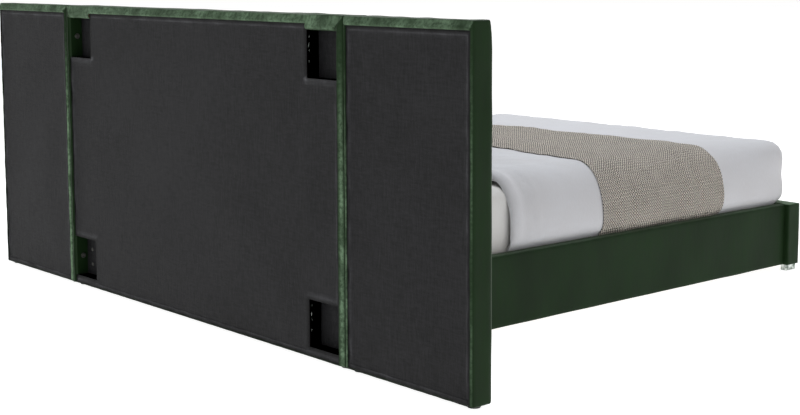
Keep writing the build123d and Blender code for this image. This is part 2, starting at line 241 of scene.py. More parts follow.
def joined(pieces, name):
    activate(pieces[0])
    for piece in pieces[1:]:
        piece.select_set(True)
    bpy.ops.object.join()
    piece = bpy.context.object
    piece.name = piece.data.name = name
    return piece


def smooth(piece, angle=40):
    activate(piece)
    bpy.ops.object.shade_smooth_by_angle(angle=radians(angle))


def centred(value, low, high):
    """-1 at low, 1 at high."""
    return 2 * (value - low) / (high - low) - 1


def between(values, low, high):
    """Which values lie between two others."""
    return (values > low) & (values < high)


def waves(a, b, length, seed, count=9):
    """A smooth random field over two coordinates, mostly -1 to 1, with bumps about so long."""
    draw = np.random.default_rng(seed)
    total = 0.0
    for _ in range(count):
        turn, phase = draw.uniform(0, 2 * pi, 2)
        size = length * draw.uniform(0.7, 1.6)
        total = total + np.sin(2 * pi * (a * cos(turn) + b * sin(turn)) / size + phase)
    return total / count ** 0.5


def blend(value, start, end):
    """0 at start, 1 at end, and smooth between."""
    t = np.clip((value - start) / (end - start), 0, 1)
    return t * t * (3 - 2 * t)


def bump_at(value, centre, width):
    """A smooth hump 1 high."""
    return np.exp(-(((value - centre) / width) ** 2))


def facing(normals, axis, way=0):
    """0 to 1 as points face squarely along an axis: in one way, or in either when way is 0."""
    return blend(way * normals[:, axis] if way else np.abs(normals[:, axis]), 0.5, 0.9)


def rounding(across, upward):
    """How far in a square corner's points are drawn to make it round, as a share of their place."""
    return np.maximum(across, upward) / np.maximum(np.hypot(across, upward), 1e-9)


def paint(piece, name, measure):
    """Keeps a number from 0 to 1 on a piece's points, for its finish to read."""
    deselect()
    values = np.clip(measure(read(piece), read(piece, "normal")), 0, 1)
    layer = piece.data.attributes.new(name, "FLOAT", "POINT")
    layer.data.foreach_set("value", np.ascontiguousarray(values))


def finished(piece, finish, body="bed_frame", angle=40):
    """Smooths a new piece, gives it its finish and says what it rides on."""
    smooth(piece, angle)
    piece.data.materials.clear()
    piece.data.materials.append(finish)
    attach(piece, body)
    return piece


# ---- Finish helpers ----

class Value:
    """One shader number. Sums on it add the Math nodes that work them out."""

    def __init__(self, finish, socket):
        self.finish = finish
        self.socket = socket

    def __add__(self, other):
        return self.finish.math("ADD", self, other)

    def __sub__(self, other):
        return self.finish.math("SUBTRACT", self, other)

    def __mul__(self, other):
        return self.finish.math("MULTIPLY", self, other)

    def __truediv__(self, other):
        return self.finish.math("DIVIDE", self, other)

    def __gt__(self, other):
        return self.finish.math("GREATER_THAN", self, other)

    def __rsub__(self, other):
        return self.finish.math("SUBTRACT", other, self)

    __radd__ = __add__
    __rmul__ = __mul__

    def wave(self, pitch):
        """A sine of this length along the number."""
        return self.finish.math("SINE", self * (2 * pi / pitch))

    def part(self, pitch):
        """0 to 1 across each step of this length."""
        return self.finish.math("FRACT", self / pitch)

    def size(self):
        return self.finish.math("ABSOLUTE", self)

    def span(self, start, end):
        """0 at start, 1 at end, and no more or less outside."""
        settings = {"interpolation_type": "SMOOTHSTEP"}
        inputs = {"Value": self, "From Min": start, "From Max": end}
        return Value(self.finish, self.finish.node("MapRange", settings, inputs).outputs[0])


class Finish:
    """A material that is being made."""

    def __init__(self, name):
        self.material = bpy.data.materials.new(name)
        self.material.use_nodes = True
        self.tree = self.material.node_tree
        self.tree.nodes.clear()
        self.coordinates = self.node("TexCoord")

    def node(self, kind, settings=None, inputs=None):
        """A node of a type, with its settings made first, then its sockets' values or links."""
        node = self.tree.nodes.new("ShaderNode" + kind)
        for name, setting in (settings or {}).items():
            setattr(node, name, setting)
        for name, given in (inputs or {}).items():
            if isinstance(given, Value):
                given = given.socket
            if isinstance(given, bpy.types.NodeSocket):
                self.tree.links.new(given, node.inputs[name])
            elif isinstance(given, tuple) and len(given) == 3 and node.inputs[name].type == "RGBA":
                node.inputs[name].default_value = (*given, 1.0)
            else:
                node.inputs[name].default_value = given
        return node

    def math(self, operation, *terms):
        inputs = dict(enumerate(terms))
        return Value(self, self.node("Math", {"operation": operation}, inputs).outputs[0])

    @property
    def place(self):
        return self.coordinates.outputs["Object"]

    @property
    def lay(self):
        """The cloth's own coordinates, in metres along it."""
        return self.coordinates.outputs["UV"]

    def painted(self, name):
        """A number kept on the piece's own points."""
        node = self.node("Attribute", {"attribute_type": "GEOMETRY", "attribute_name": name})
        return Value(self, node.outputs["Fac"])

    def axes(self, vector):
        node = self.node("SeparateXYZ", None, {0: vector})
        return [Value(self, socket) for socket in node.outputs]

    def stretched(self, vector, x=1.0, y=1.0, z=1.0):
        """Coordinates scaled along each axis."""
        return self.node("Mapping", None, {"Vector": vector, "Scale": (x, y, z)}).outputs[0]

    def noise(self, size, detail=2.0, vector=None, roughness=0.5):
        """Noise from 0 to 1 whose blotches are about so large."""
        inputs = {
            "Vector": vector or self.place,
            "Scale": 1 / size,
            "Detail": detail,
            "Roughness": roughness,
        }
        return Value(self, self.node("TexNoise", None, inputs).outputs[0])

    def cells(self, size, vector=None):
        """Distance from the middle of the nearest random cell, 0 to about 1."""
        inputs = {"Vector": vector or self.place, "Scale": 1 / size}
        return Value(self, self.node("TexVoronoi", None, inputs).outputs[0])

    def mix(self, amount, first, second):
        """A colour between two, by an amount from 0 to 1."""
        inputs = {0: amount, 6: first, 7: second}
        return self.node("Mix", {"data_type": "RGBA"}, inputs).outputs[2]

    def relief(self, height, depth, strength=1.0, under=None):
        """A bump of this depth in metres, on top of another one if it is given."""
        inputs = {"Height": height, "Distance": depth, "Strength": strength}
        if under is not None:
            inputs["Normal"] = under
        return self.node("Bump", None, inputs).outputs[0]

    def done(self, colour, roughness, normal=None, **constants):
        """Ends the material in one shader; constants are its sockets that stay the same all over."""
        inputs = {"Base Color": colour, "Roughness": roughness}
        if normal is not None:
            inputs["Normal"] = normal
        inputs.update({name.replace("_", " ").title(): given for name, given in constants.items()})
        if "Specular Level" in inputs:
            inputs["Specular IOR Level"] = inputs.pop("Specular Level")
        shader = self.node("BsdfPrincipled", None, inputs)
        self.node("OutputMaterial", None, {"Surface": shader.outputs[0]})
        return self.material


def shade(colour, amount):
    """A colour made darker or lighter."""
    return tuple(min(1.0, part * amount) for part in colour)


# ---- Finishes ----

def velvet(colour, pale):
    """Short-pile velvet: nap in patches, a painted highlight where light falls on its top and beside its
    seams, and a soft sheen.
    """
    finish = Finish("green_velvet")
    nap_and_painted_highlight = finish.noise(0.16, 3.0, finish.stretched(finish.place, 1.0, 1.0, 0.45))
    brushed_and_highlight_tone = finish.noise(0.03, 4.0, finish.stretched(finish.place, 1.6, 1.6, 0.5))
    pile = finish.noise(0.0011, 2.0)
    tone = (nap_and_painted_highlight * 0.55 + brushed_and_highlight_tone * 0.3 + pile * 0.15).span(0.3, 0.72)
    shades = finish.mix(tone, shade(colour, 0.72), shade(colour, 1.32))
    # Painted highlight: pale velvet where light falls on the top and beside the seams, slightly mottled.
    highlight_term = finish.noise(0.012, 5.0, None, 0.7)
    highlight_amount = finish.painted("nap_and_painted_highlight") * (highlight_term.span(0.35, 0.65) * 0.9 + 0.45)
    shades = finish.mix(highlight_amount, shades, pale)
    roughness = 0.62 + (brushed_and_highlight_tone - 0.5) * 0.22
    soft = finish.relief(brushed_and_highlight_tone, 0.0012, 0.35)
    normal = finish.relief(pile, 0.0004, 0.5, soft)
    return finish.done(
        shades, roughness, normal,
        sheen_weight=0.16, sheen_roughness=0.34, sheen_tint=(0.72, 0.92, 0.66, 1.0),
        specular_level=0.12,
    )


def dust_cloth(colour):
    """Black non-woven cloth: pressed fibres with a fine square emboss and paler fluff, a painted
    highlight on hem creases and sills, and painted shadow under the velvet roll.
    """
    finish = Finish("dust_cloth")
    x, _, z = finish.axes(finish.place)
    emboss = x.wave(0.0032) * z.wave(0.0032)
    fibres = finish.noise(0.006, 4.0, finish.stretched(finish.place, 1.0, 1.0, 3.0), 0.7)
    courses = finish.noise(0.012, 2.0, finish.stretched(finish.place, 0.3, 1.0, 1.6), 0.6)
    uprights = finish.noise(0.012, 2.0, finish.stretched(finish.place, 1.6, 1.0, 0.3), 0.6)
    flat = finish.noise(0.25, 3.0)
    threads = courses * 0.28 + uprights * 0.28
    tone = (fibres * 0.24 + threads + emboss * 0.06 + flat * 0.2).span(0.36, 0.62)
    colours = finish.mix(tone, shade(colour, 0.55), shade(colour, 1.55))
    # Painted highlight along the hem's crease and on the recess sills.
    colours = finish.mix(finish.painted("wear_and_highlight") * (tone * 0.5 + 0.6), colours, shade(colour, 20))
    # Painted shadow where the cloth goes in under the velvet roll.
    colours = finish.mix(finish.painted("tucked_and_painted_shadow") * 0.85, colours, shade(colour, 0.12))
    roughness = 0.5 + fibres * 0.22
    creases = finish.relief(courses + uprights, 0.0018, 0.5)
    relief = finish.relief(emboss * 0.5 + fibres, 0.0005, 0.6, creases)
    return finish.done(colours, roughness, relief, specular_level=0.16)


def cotton(name, colour, weave=0.0011, warm=0.03):
    """Plain cotton with a fine weave and faint slubs."""
    finish = Finish(name)
    x, y, _ = finish.axes(finish.lay)
    threads = x.wave(weave) * y.wave(weave)
    slubs = finish.noise(0.004, 3.0, finish.stretched(finish.lay, 0.25, 1.0, 1.0))
    tone = finish.noise(0.2, 2.0, finish.lay) * 0.5 + slubs * 0.5
    low = (colour[0], colour[1] * (1 - warm * 0.5), colour[2] * (1 - warm))
    colours = finish.mix(tone.span(0.3, 0.7), shade(low, 0.95), colour)
    creases = finish.noise(0.035, 4.0, finish.stretched(finish.lay, 1.0, 0.45, 1.0))
    under = finish.relief(creases, 0.0035, 0.4)
    normal = finish.relief(threads * 0.4 + slubs, 0.0003, 0.5, under)
    return finish.done(
        colours, 0.82 + slubs * 0.1, normal,
        sheen_weight=0.12, sheen_roughness=0.5, specular_level=0.25,
    )


def knit(colour, pitch):
    """Birdseye knit: small raised diamonds of light yarn with dark gaps between them."""
    finish = Finish("throw_knit")
    across, along, _ = finish.axes(finish.lay)
    wander = finish.noise(0.05, 2.0, finish.lay) * (pitch * 0.5)
    rows = (across + wander).wave(pitch) - 0.5
    columns = (along + wander).wave(pitch) - 0.5
    diamonds = rows * columns * 2 + 0.5
    fuzz = finish.noise(0.0016, 3.0, finish.lay)
    wear_and_highlight = finish.noise(0.1, 3.0, finish.lay)
    tone = (diamonds * 0.76 + fuzz * 0.1 + wear_and_highlight * 0.14).span(0.28, 0.66)
    colours = finish.mix(tone, shade(colour, 0.12), shade(colour, 1.7))
    normal = finish.relief(diamonds + fuzz * 0.2, 0.0025, 0.9)
    return finish.done(
        colours, 0.88, normal,
        sheen_weight=0.12, sheen_roughness=0.6, specular_level=0.2,
    )


def ticking(colour):
    """Mattress cloth with a quilted diamond relief and thin woven stripes."""
    finish = Finish("mattress_ticking")
    x, y, z = finish.axes(finish.place)
    diamonds = ((x + y + z).wave(0.16) * (x - y + z).wave(0.16)).size()
    stripe = x.part(0.03) > 0.9
    colours = finish.mix(stripe, colour, shade(colour, 0.8))
    weave = finish.noise(0.0015, 2.0)
    under = finish.relief(diamonds.span(0.0, 0.35), 0.006, 0.8)
    return finish.done(colours, 0.8, finish.relief(weave, 0.0004, 0.5, under), specular_level=0.3)


def foam(colour):
    """Cut polyurethane foam: open cells and a slight tone from cut to cut."""
    finish = Finish("upholstery_foam")
    pores = finish.cells(0.0035)
    tone = finish.noise(0.2, 2.0) * 0.6 + pores * 0.4
    colours = finish.mix(tone.span(0.2, 0.8), shade(colour, 0.85), shade(colour, 1.08))
    return finish.done(colours, 0.9, finish.relief(pores, 0.0012, 0.8), specular_level=0.2)


def pine(colour):
    """Planed softwood: growth bands along the piece, fine fibres and a few knots."""
    finish = Finish("pine_timber")
    along = finish.stretched(finish.place, 1.0, 1.0, 0.12)
    rings = (finish.noise(0.05, 3.0, along) * 0.9).part(0.11)
    fibres = finish.noise(0.004, 4.0, finish.stretched(finish.place, 1.0, 1.0, 0.05))
    knots = 1 - finish.cells(0.22, finish.stretched(finish.place, 1.0, 1.0, 0.5)).span(0.02, 0.09)
    colours = finish.mix(rings * 0.7 + fibres * 0.3, colour, shade(colour, 0.62))
    colours = finish.mix(knots, colours, shade(colour, 0.3))
    roughness = 0.55 + fibres * 0.15
    return finish.done(colours, roughness, finish.relief(fibres, 0.0006, 0.5), specular_level=0.4)


def panel_board(colour):
    """Thin pressed board: chips and fibres in a warm brown."""
    finish = Finish("panel_board")
    chips = finish.cells(0.011, finish.stretched(finish.place, 1.0, 1.0, 0.6))
    fibres = finish.noise(0.003, 4.0)
    tone = (chips * 0.6 + fibres * 0.4).span(0.2, 0.8)
    colours = finish.mix(tone, shade(colour, 0.75), shade(colour, 1.2))
    return finish.done(colours, 0.72, finish.relief(fibres, 0.0004, 0.4), specular_level=0.35)


def polished_metal():
    """Bright plated metal with hairline scratches, a little haze, and a painted greenish mottled
    reflection in its colour.
    """
    finish = Finish("polished_metal")
    hair = finish.noise(0.0012, 3.0, finish.stretched(finish.place, 0.06, 1.0, 1.0))
    haze_and_painted_reflection = finish.noise(0.02, 3.0)
    # Painted reflection: the colour mottles from dark green-grey to pale, mirroring the velvet and the
    # floor.
    colours = finish.mix(haze_and_painted_reflection.span(0.35, 0.65), (0.12, 0.15, 0.125), (0.6, 0.64, 0.6))
    roughness = 0.06 + haze_and_painted_reflection * 0.08 + hair * 0.05
    return finish.done(colours, roughness, finish.relief(hair, 0.0001, 0.25), metallic=1.0)


def plated_steel(name, light, dark):
    """Plated or painted steel with the mottle of its finish."""
    finish = Finish(name)
    spangle = finish.cells(0.004)
    grain = finish.noise(0.0012, 3.0)
    colours = finish.mix((spangle * 0.6 + grain * 0.4).span(0.2, 0.8), dark, light)
    roughness = 0.4 + spangle * 0.2
    return finish.done(colours, roughness, finish.relief(grain, 0.0002, 0.4), metallic=0.9)


def black_plastic():
    """Moulded black plastic with a fine spark-eroded grain and scuffs."""
    finish = Finish("black_plastic")
    grain = finish.cells(0.0009)
    scuffs = finish.noise(0.008, 4.0)
    colours = finish.mix(scuffs.span(0.55, 0.75), (0.012, 0.012, 0.013), (0.035, 0.035, 0.036))
    return finish.done(colours, 0.42 + grain * 0.2, finish.relief(grain, 0.0003, 0.5))


def studio_floor():
    """Pale seamless floor, evenly lit."""
    finish = Finish("studio_floor")
    dust = finish.noise(0.6, 2.0)
    colours = finish.mix(dust, (0.48, 0.48, 0.48), (0.52, 0.52, 0.52))
    return finish.done(
        colours, 0.9, emission_color=(1.0, 1.0, 1.0, 1.0), emission_strength=0.93, specular_level=0.1
    )


_made = {}


def finish_of(name):
    """The finish for one of the record's slots, made the first time it is asked for."""
    looks = bpy.context.scene.bed_looks
    makers = {
        "velvet": lambda: velvet(tuple(looks.velvet), tuple(looks.velvet_highlight_colour)),
        "dust_cloth": lambda: dust_cloth(tuple(looks.dust_cloth)),
        "timber": lambda: pine((0.62, 0.43, 0.25)),
        "panel_board": lambda: panel_board((0.36, 0.24, 0.15)),
        "foam": lambda: foam((0.72, 0.66, 0.45)),
        "black_plastic": black_plastic,
        "polished_metal": polished_metal,
        # Zinc grey darkened past bare zinc: painted shade for the washers deep in the recesses.
        "zinc_steel": lambda: plated_steel("zinc_steel", (0.22, 0.22, 0.2), (0.09, 0.09, 0.085)),
        "black_steel": lambda: plated_steel("black_steel", (0.05, 0.05, 0.05), (0.02, 0.02, 0.022)),
        "mattress_ticking": lambda: ticking((0.78, 0.77, 0.74)),
        "sheet_cotton": lambda: cotton("sheet_cotton", tuple(looks.sheet), warm=0.05),
        "coverlet_cotton": lambda: cotton("coverlet_cotton", tuple(looks.coverlet), weave=0.0014),
        "throw_knit": lambda: knit(tuple(looks.throw), looks.knit_pitch),
    }
    if name not in _made:
        _made[name] = makers[name]()
    return _made[name]


# ---- What a user would change ----

def length(name, description, default):
    return FloatProperty(name=name, description=description, default=default, unit="LENGTH", precision=4)


def colour(name, description, default):
    return FloatVectorProperty(
        name=name, description=description, default=default, subtype="COLOR", min=0.0, max=1.0
    )


class BedLooks(bpy.types.PropertyGroup):
    """Colours and cloth patterns."""

    velvet: colour("Velvet", "Colour of the velvet's pile", (0.0066, 0.0208, 0.0050))
    # Painted highlight colour: the pale velvet where light falls on the top and beside the seams.
    velvet_highlight_colour: colour("Velvet nap", "Velvet whose pile is turned over", (0.155, 0.245, 0.15))
    dust_cloth: colour("Dust cloth", "Colour of the cloth over the open back", (0.0115, 0.0115, 0.0125))
    sheet: colour("Sheet", "Colour of the fitted sheet", (0.69, 0.685, 0.675))
    coverlet: colour("Coverlet", "Colour of the coverlet", (0.585, 0.585, 0.61))
    throw: colour("Throw", "Colour of the throw's yarn", (0.5, 0.45, 0.395))
    knit_pitch: length("Knit pitch", "Distance between the throw's diamonds", 0.011)


class BedSoftness(bpy.types.PropertyGroup):
    """How full and how rumpled the upholstery and the bedding are."""

    front_round: length("Front rounding", "Radius round the edge of a headboard pad", 0.018)
    edge_round: length("Edge rounding", "Radius where the velvet turns to the back", 0.0045)
    corner_round: length("Corner rounding", "How far down a wing's outer top corner is rounded", 0.085)
    crown: length("Pad crown", "How far a pad's middle stands proud of its edge", 0.004)
    band_rise: length("Band rise", "How far the velvet round the back stands up", 0.0085)
    pucker: length("Puckers", "Height of the puckers in the stretched velvet", 0.0009)
    hem: length("Hem", "Width of the dust cover's folded edge", 0.012)
    dust_slack: length("Dust cover slack", "How loosely the dust cover lies", 0.0018)
    coverlet_loft: length("Coverlet loft", "Thickness of the quilted coverlet", 0.008)
    coverlet_round: length("Coverlet rounding", "Radius where the coverlet turns down", 0.12)
    sheet_drop: length("Sheet drop", "How far the sheet's top lies under the coverlet's lining", 0.02)
    head_fold: length("Head fold", "How far the coverlet's head edge is turned back", 0.025)
    foot_round: length("Foot rounding", "Radius where the coverlet turns down at the foot", 0.016)
    bed_crown: length("Bed crown", "How far the bedding's middle stands above its edges", 0.006)
    bed_lift: length("Bed lift", "How far the bedding's top stands up", 0.014)
    foot_swell: length("Foot swell", "How far the bedding swells over the footboard", 0.058)
    side_swell: length("Side swell", "How far the bedding swells over the rails", 0.02)
    throw_lift: length("Throw lift", "How high the throw lies on the coverlet", 0.002)


# ---- Headboard ----

def access_columns():
    """x spans of the recesses, right one first, from the studs to the dust cover's edge."""
    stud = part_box("centre_studs")[1].x
    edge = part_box("centre_dust_cover")[1].x
    return ((-edge, -stud), (stud, edge))


def access_heights():
    """z spans of the low and the high recesses."""
    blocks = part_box("centre_access_blocks")
    return (
        (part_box("centre_bottom_rail")[1].z, blocks[0].z),
        (blocks[1].z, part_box("centre_top_rail")[0].z - VELVET_CLOTH),
    )


def within(value, span):
    return span[0] < value < span[1]


def round_cover(low, high, softness):
    """In edit mode, rounds a section's box: fully round its front, less round its other edges."""
    bevel(softness.front_round, 4, lambda edge: lies_in(edge, Y, low.y))
    bevel(softness.edge_round, 3, lambda edge: lies_in(edge, Y, high.y) or runs_along(edge, Y))


def headboard_cover(section, softness):
    """Velvet round one section: over the pad, round its edges and a short way onto the back."""
    low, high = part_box(f"{section}_velvet_cover")
    cloth_low, cloth_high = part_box(f"{section}_dust_cover")
    piece = cuboid(f"{section}_cover", low, high)
    edit(piece)
    round_cover(low, high, softness)
    tab_foot = access_heights()[1][1]
    for axis in (X, Z):
        slice_up(axis, steps(low[axis], high[axis], 0.03))
    slice_up(Y, steps(low.y + softness.front_round, high.y - softness.edge_round, 0.02))
    slice_up(X, (cloth_low.x, cloth_high.x, *[low.x + step for step in BAND_STEPS]))
    slice_up(X, [high.x - step for step in BAND_STEPS])
    slice_up(Z, (cloth_high.z, high.z - 0.035, *[high.z - step for step in BAND_STEPS]))
    if section == "centre":
        slice_up(Z, (tab_foot, *[z for span in access_heights() for z in span]))
        for column in access_columns():
            slice_up(X, column)

    def bare(face):
        place = middle(face)
        if place.y < high.y - 1e-4 or not within(place.x, (cloth_low.x, cloth_high.x)):
            return False
        if section == "centre" and any(within(place.x, column) for column in access_columns()):
            return place.z < tab_foot
        return place.z < cloth_high.z

    remove_faces(bare)
    if section == "centre":
        line_access_with_velvet(high.y, tab_foot)
    deselect()
    subdivide(piece, kind="SIMPLE")
    returns = (cloth_low.x - low.x, high.x - cloth_high.x, high.z - cloth_high.z)
    reshape(piece, lambda places, normals: eased_cover(places, normals, low, high, returns, softness))
    thicken(piece, VELVET_CLOTH)
    # Painted highlight: pale velvet along the top of the back and beside the seams.
    paint(piece, "nap_and_painted_highlight", lambda places, normals: painted_velvet_highlight(places, low, high, returns))
    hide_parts(f"{section}_velvet_cover")
    return finished(piece, finish_of("velvet"))


def line_access_with_velvet(back, tab_foot):
    """In edit mode, turns the velvet's edge into the recesses, along the stile and the top rail."""
    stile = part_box("centre_left_stile")[0].x - DUST_CLOTH
    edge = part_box("centre_dust_cover")[1].x
    heights = access_heights()

    def beside(item):
        place = middle(item)
        return (
            item.is_boundary and near(place.y, back) and near(abs(place.x), edge)
            and any(within(place.z, z) for z in heights)
        )

    def over(item):
        return item.is_boundary and lies_in(item, Z, tab_foot) and lies_in(item, Y, back)

    for side in SIDES.values():
        choose("EDGE", lambda item: beside(item) and item.verts[0].co.x * side > 0)
        pull_edges(side * (stile - edge), -0.001)
        for _ in range(3):
            pull_edges(0, -0.0152)
    choose("EDGE", over)
    for _ in range(2):
        pull_edges(0, -0.021)


def eased_cover(places, normals, low, high, returns, softness):
    """Pad crown at the front, puckers round the sides and a soft roll round the back."""
    x, y, z = places.T
    u, w = centred(x, low.x, high.x), centred(z, low.z, high.z)
    front = facing(normals, Y, -1)
    swell = softness.crown * (1 - u ** 6) * (1 - w ** 6)
    y -= front * (swell + softness.pucker * 0.6 * waves(x, z, 0.35, 3))
    sideways = np.minimum((x - low.x) / returns[0], (high.x - x) / returns[1])
    downward = (high.z - z) / top_return(x, returns)
    inset = np.clip(np.minimum(sideways, downward), 0, 1)
    back = y > high.y - 0.0006
    roll = blend(inset, 0.1, 0.82) * (1 - 0.75 * blend(inset, 0.86, 1.0))
    along = np.where(sideways < downward, z, x)
    rumple = waves(along, inset * 0.05, 0.09, 11) * 0.7 + waves(along, inset * 0.02, 0.035, 12) * 0.5
    full = 0.026
    side_return = np.where(x > (low.x + high.x) / 2, returns[1], returns[0])
    wide = np.where(sideways < downward, side_return, full)
    rise = softness.band_rise * np.minimum(wide / full, 1)
    y += back * roll * np.maximum(rise + softness.pucker * rumple * 1.4, 0)
    frontward = softness.corner_round * (1 - blend(y, low.y + 0.004, low.y + 0.02))
    if is_wing(returns):
        round_outer_corner(places, low, high, frontward)
    level = facing(normals, Z) * np.sign(normals[:, Z])
    z += level * softness.pucker * np.maximum(0.4 + waves(x, y, 0.12, 5), 0)
    outer = np.abs(x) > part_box("centre_velvet_cover")[1].x + 0.1
    upright = facing(normals, X) * outer * np.sign(normals[:, X])
    x += upright * softness.pucker * np.maximum(0.4 + waves(z, y, 0.14, 6), 0)
    return places


def round_outer_corner(places, low, high, reach):
    """Rounds a wing's outer top corner, three times as far down as it is across."""
    x, _, z = places.T
    side = 1 if low[X] + high[X] > 0 else -1
    edge = max(low[X] * side, high[X] * side)
    across = np.maximum(1 - (edge - x * side) / np.maximum(reach / 3, 1e-6), 0)
    upward = np.maximum(1 - (high[Z] - z) / np.maximum(reach, 1e-6), 0)
    drawn_in = 1 - rounding(across, upward)
    x -= side * (reach / 3) * across * drawn_in
    z -= reach * upward * drawn_in


def painted_velvet_highlight(places, low, high, returns):
    """Painted highlight: pale along the top of the back, where light from above falls, and streaked
    beside the seams.
    """
    x, y, z = places.T
    on_back = blend(y, high.y - 0.004, high.y)
    top = high.z - z < top_return(x, returns)
    sideways = np.minimum((x - low.x) / returns[0], (high.x - x) / returns[1])
    downward = (high.z - z) / returns[2]
    on_top = top & (downward < sideways)
    brushed_and_highlight_tone = 0.75 + 0.3 * waves(x, z, 0.1, 15)
    streak = bump_at(sideways, 0.45, 0.25) * (0.2 + 0.15 * waves(z, x * 0, 0.4, 16))
    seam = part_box("centre_velvet_cover")[1].x
    away = np.abs(np.abs(x) - seam)
    # Painted highlight beside the seams, stronger lower down and on one side.
    wear_and_highlight = bump_at(away, 0.009, 0.006) * blend(z, 0.95, 0.4) * (0.85 + 0.35 * waves(z, x, 0.09, 17))
    wear_and_highlight = wear_and_highlight * np.where(x > 0, 1.0, 0.65)
    upright = np.minimum(x - low.x, high.x - x) < 0.04
    return on_back * np.where(on_top, 0.6 * brushed_and_highlight_tone, np.where(upright, streak + wear_and_highlight, 0))


def is_wing(returns):
    """A wing's velvet returns further on its outer edge than beside the seam."""
    return returns[0] != returns[1]


def top_return(x, returns):
    """How far down the back the velvet comes: further over the centre section's recesses."""
    tab = not is_wing(returns) and np.abs(x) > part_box("centre_studs")[1].x - 0.001
    return returns[2] + TAB_RETURN * tab


def foam_pad(name, low, high, radius, node, crown=0.0, corner=0.0):
    """A foam pad with rounded front edges, a little proud in its middle."""
    piece = cuboid(name, low, high)
    edit(piece)
    bevel(radius, 3, lambda edge: lies_in(edge, Y, low.y))
    for axis in (X, Z):
        slice_up(axis, steps(low[axis], high[axis], 0.08))
        slice_up(axis, (low[axis] + 0.006, low[axis] + 0.03, high[axis] - 0.006, high[axis] - 0.03))
    deselect()

    def crowned(places, normals):
        x, y, z = places.T
        u, w = centred(x, low[X], high[X]), centred(z, low[Z], high[Z])
        y -= facing(normals, Y, -1) * crown * (1 - u ** 6) * (1 - w ** 6)
        if corner:
            round_outer_corner(places, low, high, corner)
        return places

    reshape(piece, crowned)
    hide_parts(node)
    return finished(piece, finish_of("foam"))


class BED_OT_headboard_pads(bpy.types.Operator):
    """Foam pads on the headboard's three face boards"""

    bl_idname = "bed.headboard_pads"
    bl_label = "Headboard pads"

    def execute(self, context):
        softness = context.scene.bed_softness
        radius = softness.front_round - VELVET_CLOTH
        for section in SECTIONS:
            node = f"{section}_foam_pad"
            # A wing's foam is rounded a little more than its velvet, to stay inside it.
            corner = 0 if section == "centre" else softness.corner_round + 0.003
            foam_pad(f"{section}_pad", *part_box(node), radius, node, softness.crown * 0.8, corner)
        return {"FINISHED"}


class BED_OT_headboard_covers(bpy.types.Operator):
    """Velvet covers wrapped round the three sections"""

    bl_idname = "bed.headboard_covers"
    bl_label = "Headboard velvet"

    def execute(self, context):
        for section in SECTIONS:
            headboard_cover(section, context.scene.bed_softness)
        return {"FINISHED"}


def dust_cover(section, softness):
    """Black cloth over one section's open back, with a folded hem, cut away at the recesses."""
    low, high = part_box(f"{section}_dust_cover")
    low, high = low - Vector((UNDER_ROLL, 0, 0)), high + Vector((UNDER_ROLL, 0, UNDER_ROLL))
    face = high.y - DUST_CLOTH
    piece = upright_cloth(f"{section}_dust_cloth", (low.x, high.x), face, (low.z, high.z), 0.016)
    edit(piece)
    hem = softness.hem + UNDER_ROLL
    crease = hem + 0.001
    shadow = (UNDER_ROLL + 0.003, UNDER_ROLL + 0.010)
    for axis in (X, Z):
        for inset in (*shadow, hem, crease, hem + 0.005):
            slice_up(axis, (low[axis] + inset, high[axis] - inset))
    if section == "centre":
        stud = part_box("centre_studs")[1].x
        slice_up(X, (-stud, stud))
        low_span, high_span = access_heights()
        slice_up(Z, (*low_span, *high_span))
        slice_up(Z, [high_span[0] - step for step in SILL_STEPS])
        remove_faces(
            lambda item: abs(middle(item).x) > stud
            and (within(middle(item).z, low_span) or middle(item).z > high_span[0])
        )
        line_access_with_cloth()
    deselect()

    def from_edge(x, z, foot_slack=0.0, access_slack=0.0):
        """How far in from the cloth's nearest edge."""
        sideways = np.minimum(x - low.x, high.x - x)
        edge = np.minimum(sideways, np.minimum(high.z - z, z - low.z + foot_slack))
        if section == "centre":
            edge = np.minimum(edge, access_distance(x, z) + access_slack)
        return edge

    def puckered(places, normals):
        x, y, z = places.T
        edge = from_edge(x, z)
        outside = y > face - 1e-4
        upright = np.minimum(x - low.x, high.x - x) < np.minimum(high.z - z, z - low.z)
        along = np.where(upright, z, x)
        pull = waves(along, edge * 0.6, 0.075, 21) * 0.7 + waves(along, edge, 0.03, 22) * 0.4
        rise = np.maximum(1 + pull, 0) * np.exp(-edge / 0.045) * blend(edge, 0.0, 0.01)
        broad = 0.8 * np.maximum(1 + waves(x, z, 0.42, 23), 0) * blend(edge, 0.02, 0.2)
        doubled = 0.0016 * (1 - blend(edge, hem, crease))
        fold = doubled * (0.7 + 0.3 * waves(along, edge, 0.05, 24))
        y += outside * (softness.dust_slack * (rise + broad) + fold)
        return places

    reshape(piece, puckered)
    thicken(piece, DUST_CLOTH)

    def shown_edge(places):
        return from_edge(places[:, X], places[:, Z], 0.004, UNDER_ROLL)

    def wear_and_highlight(places, normals):
        """Painted highlight: pale along the hem's crease and over the sill of a high recess, where the
        folds catch the light.
        """
        x, _, z = places.T
        highlight_term = bump_at(shown_edge(places), crease, 0.0035) * (0.09 + 0.06 * waves(x, z, 0.12, 25))
        sill = access_heights()[1][0]
        lip = section == "centre" and between(np.abs(x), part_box("centre_studs")[1].x - 0.004, high.x)
        below = 1.5 * bump_at(z, sill, 0.005) + 0.06 * bump_at(z, sill - 0.012, 0.008)
        uneven = 1.0 + 0.3 * waves(x, z, 0.06, 26)
        return highlight_term * (1 - lip * (np.abs(z - sill) < 0.03)) + lip * below * uneven

    def tucked_and_painted_shadow(places, normals):
        """Painted shadow: dark where the cloth goes in under the velvet roll."""
        return 1 - blend(shown_edge(places), *shadow)

    paint(piece, "wear_and_highlight", wear_and_highlight)
    paint(piece, "tucked_and_painted_shadow", tucked_and_painted_shadow)
    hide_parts(f"{section}_dust_cover")
    return finished(piece, finish_of("dust_cloth"), angle=50)


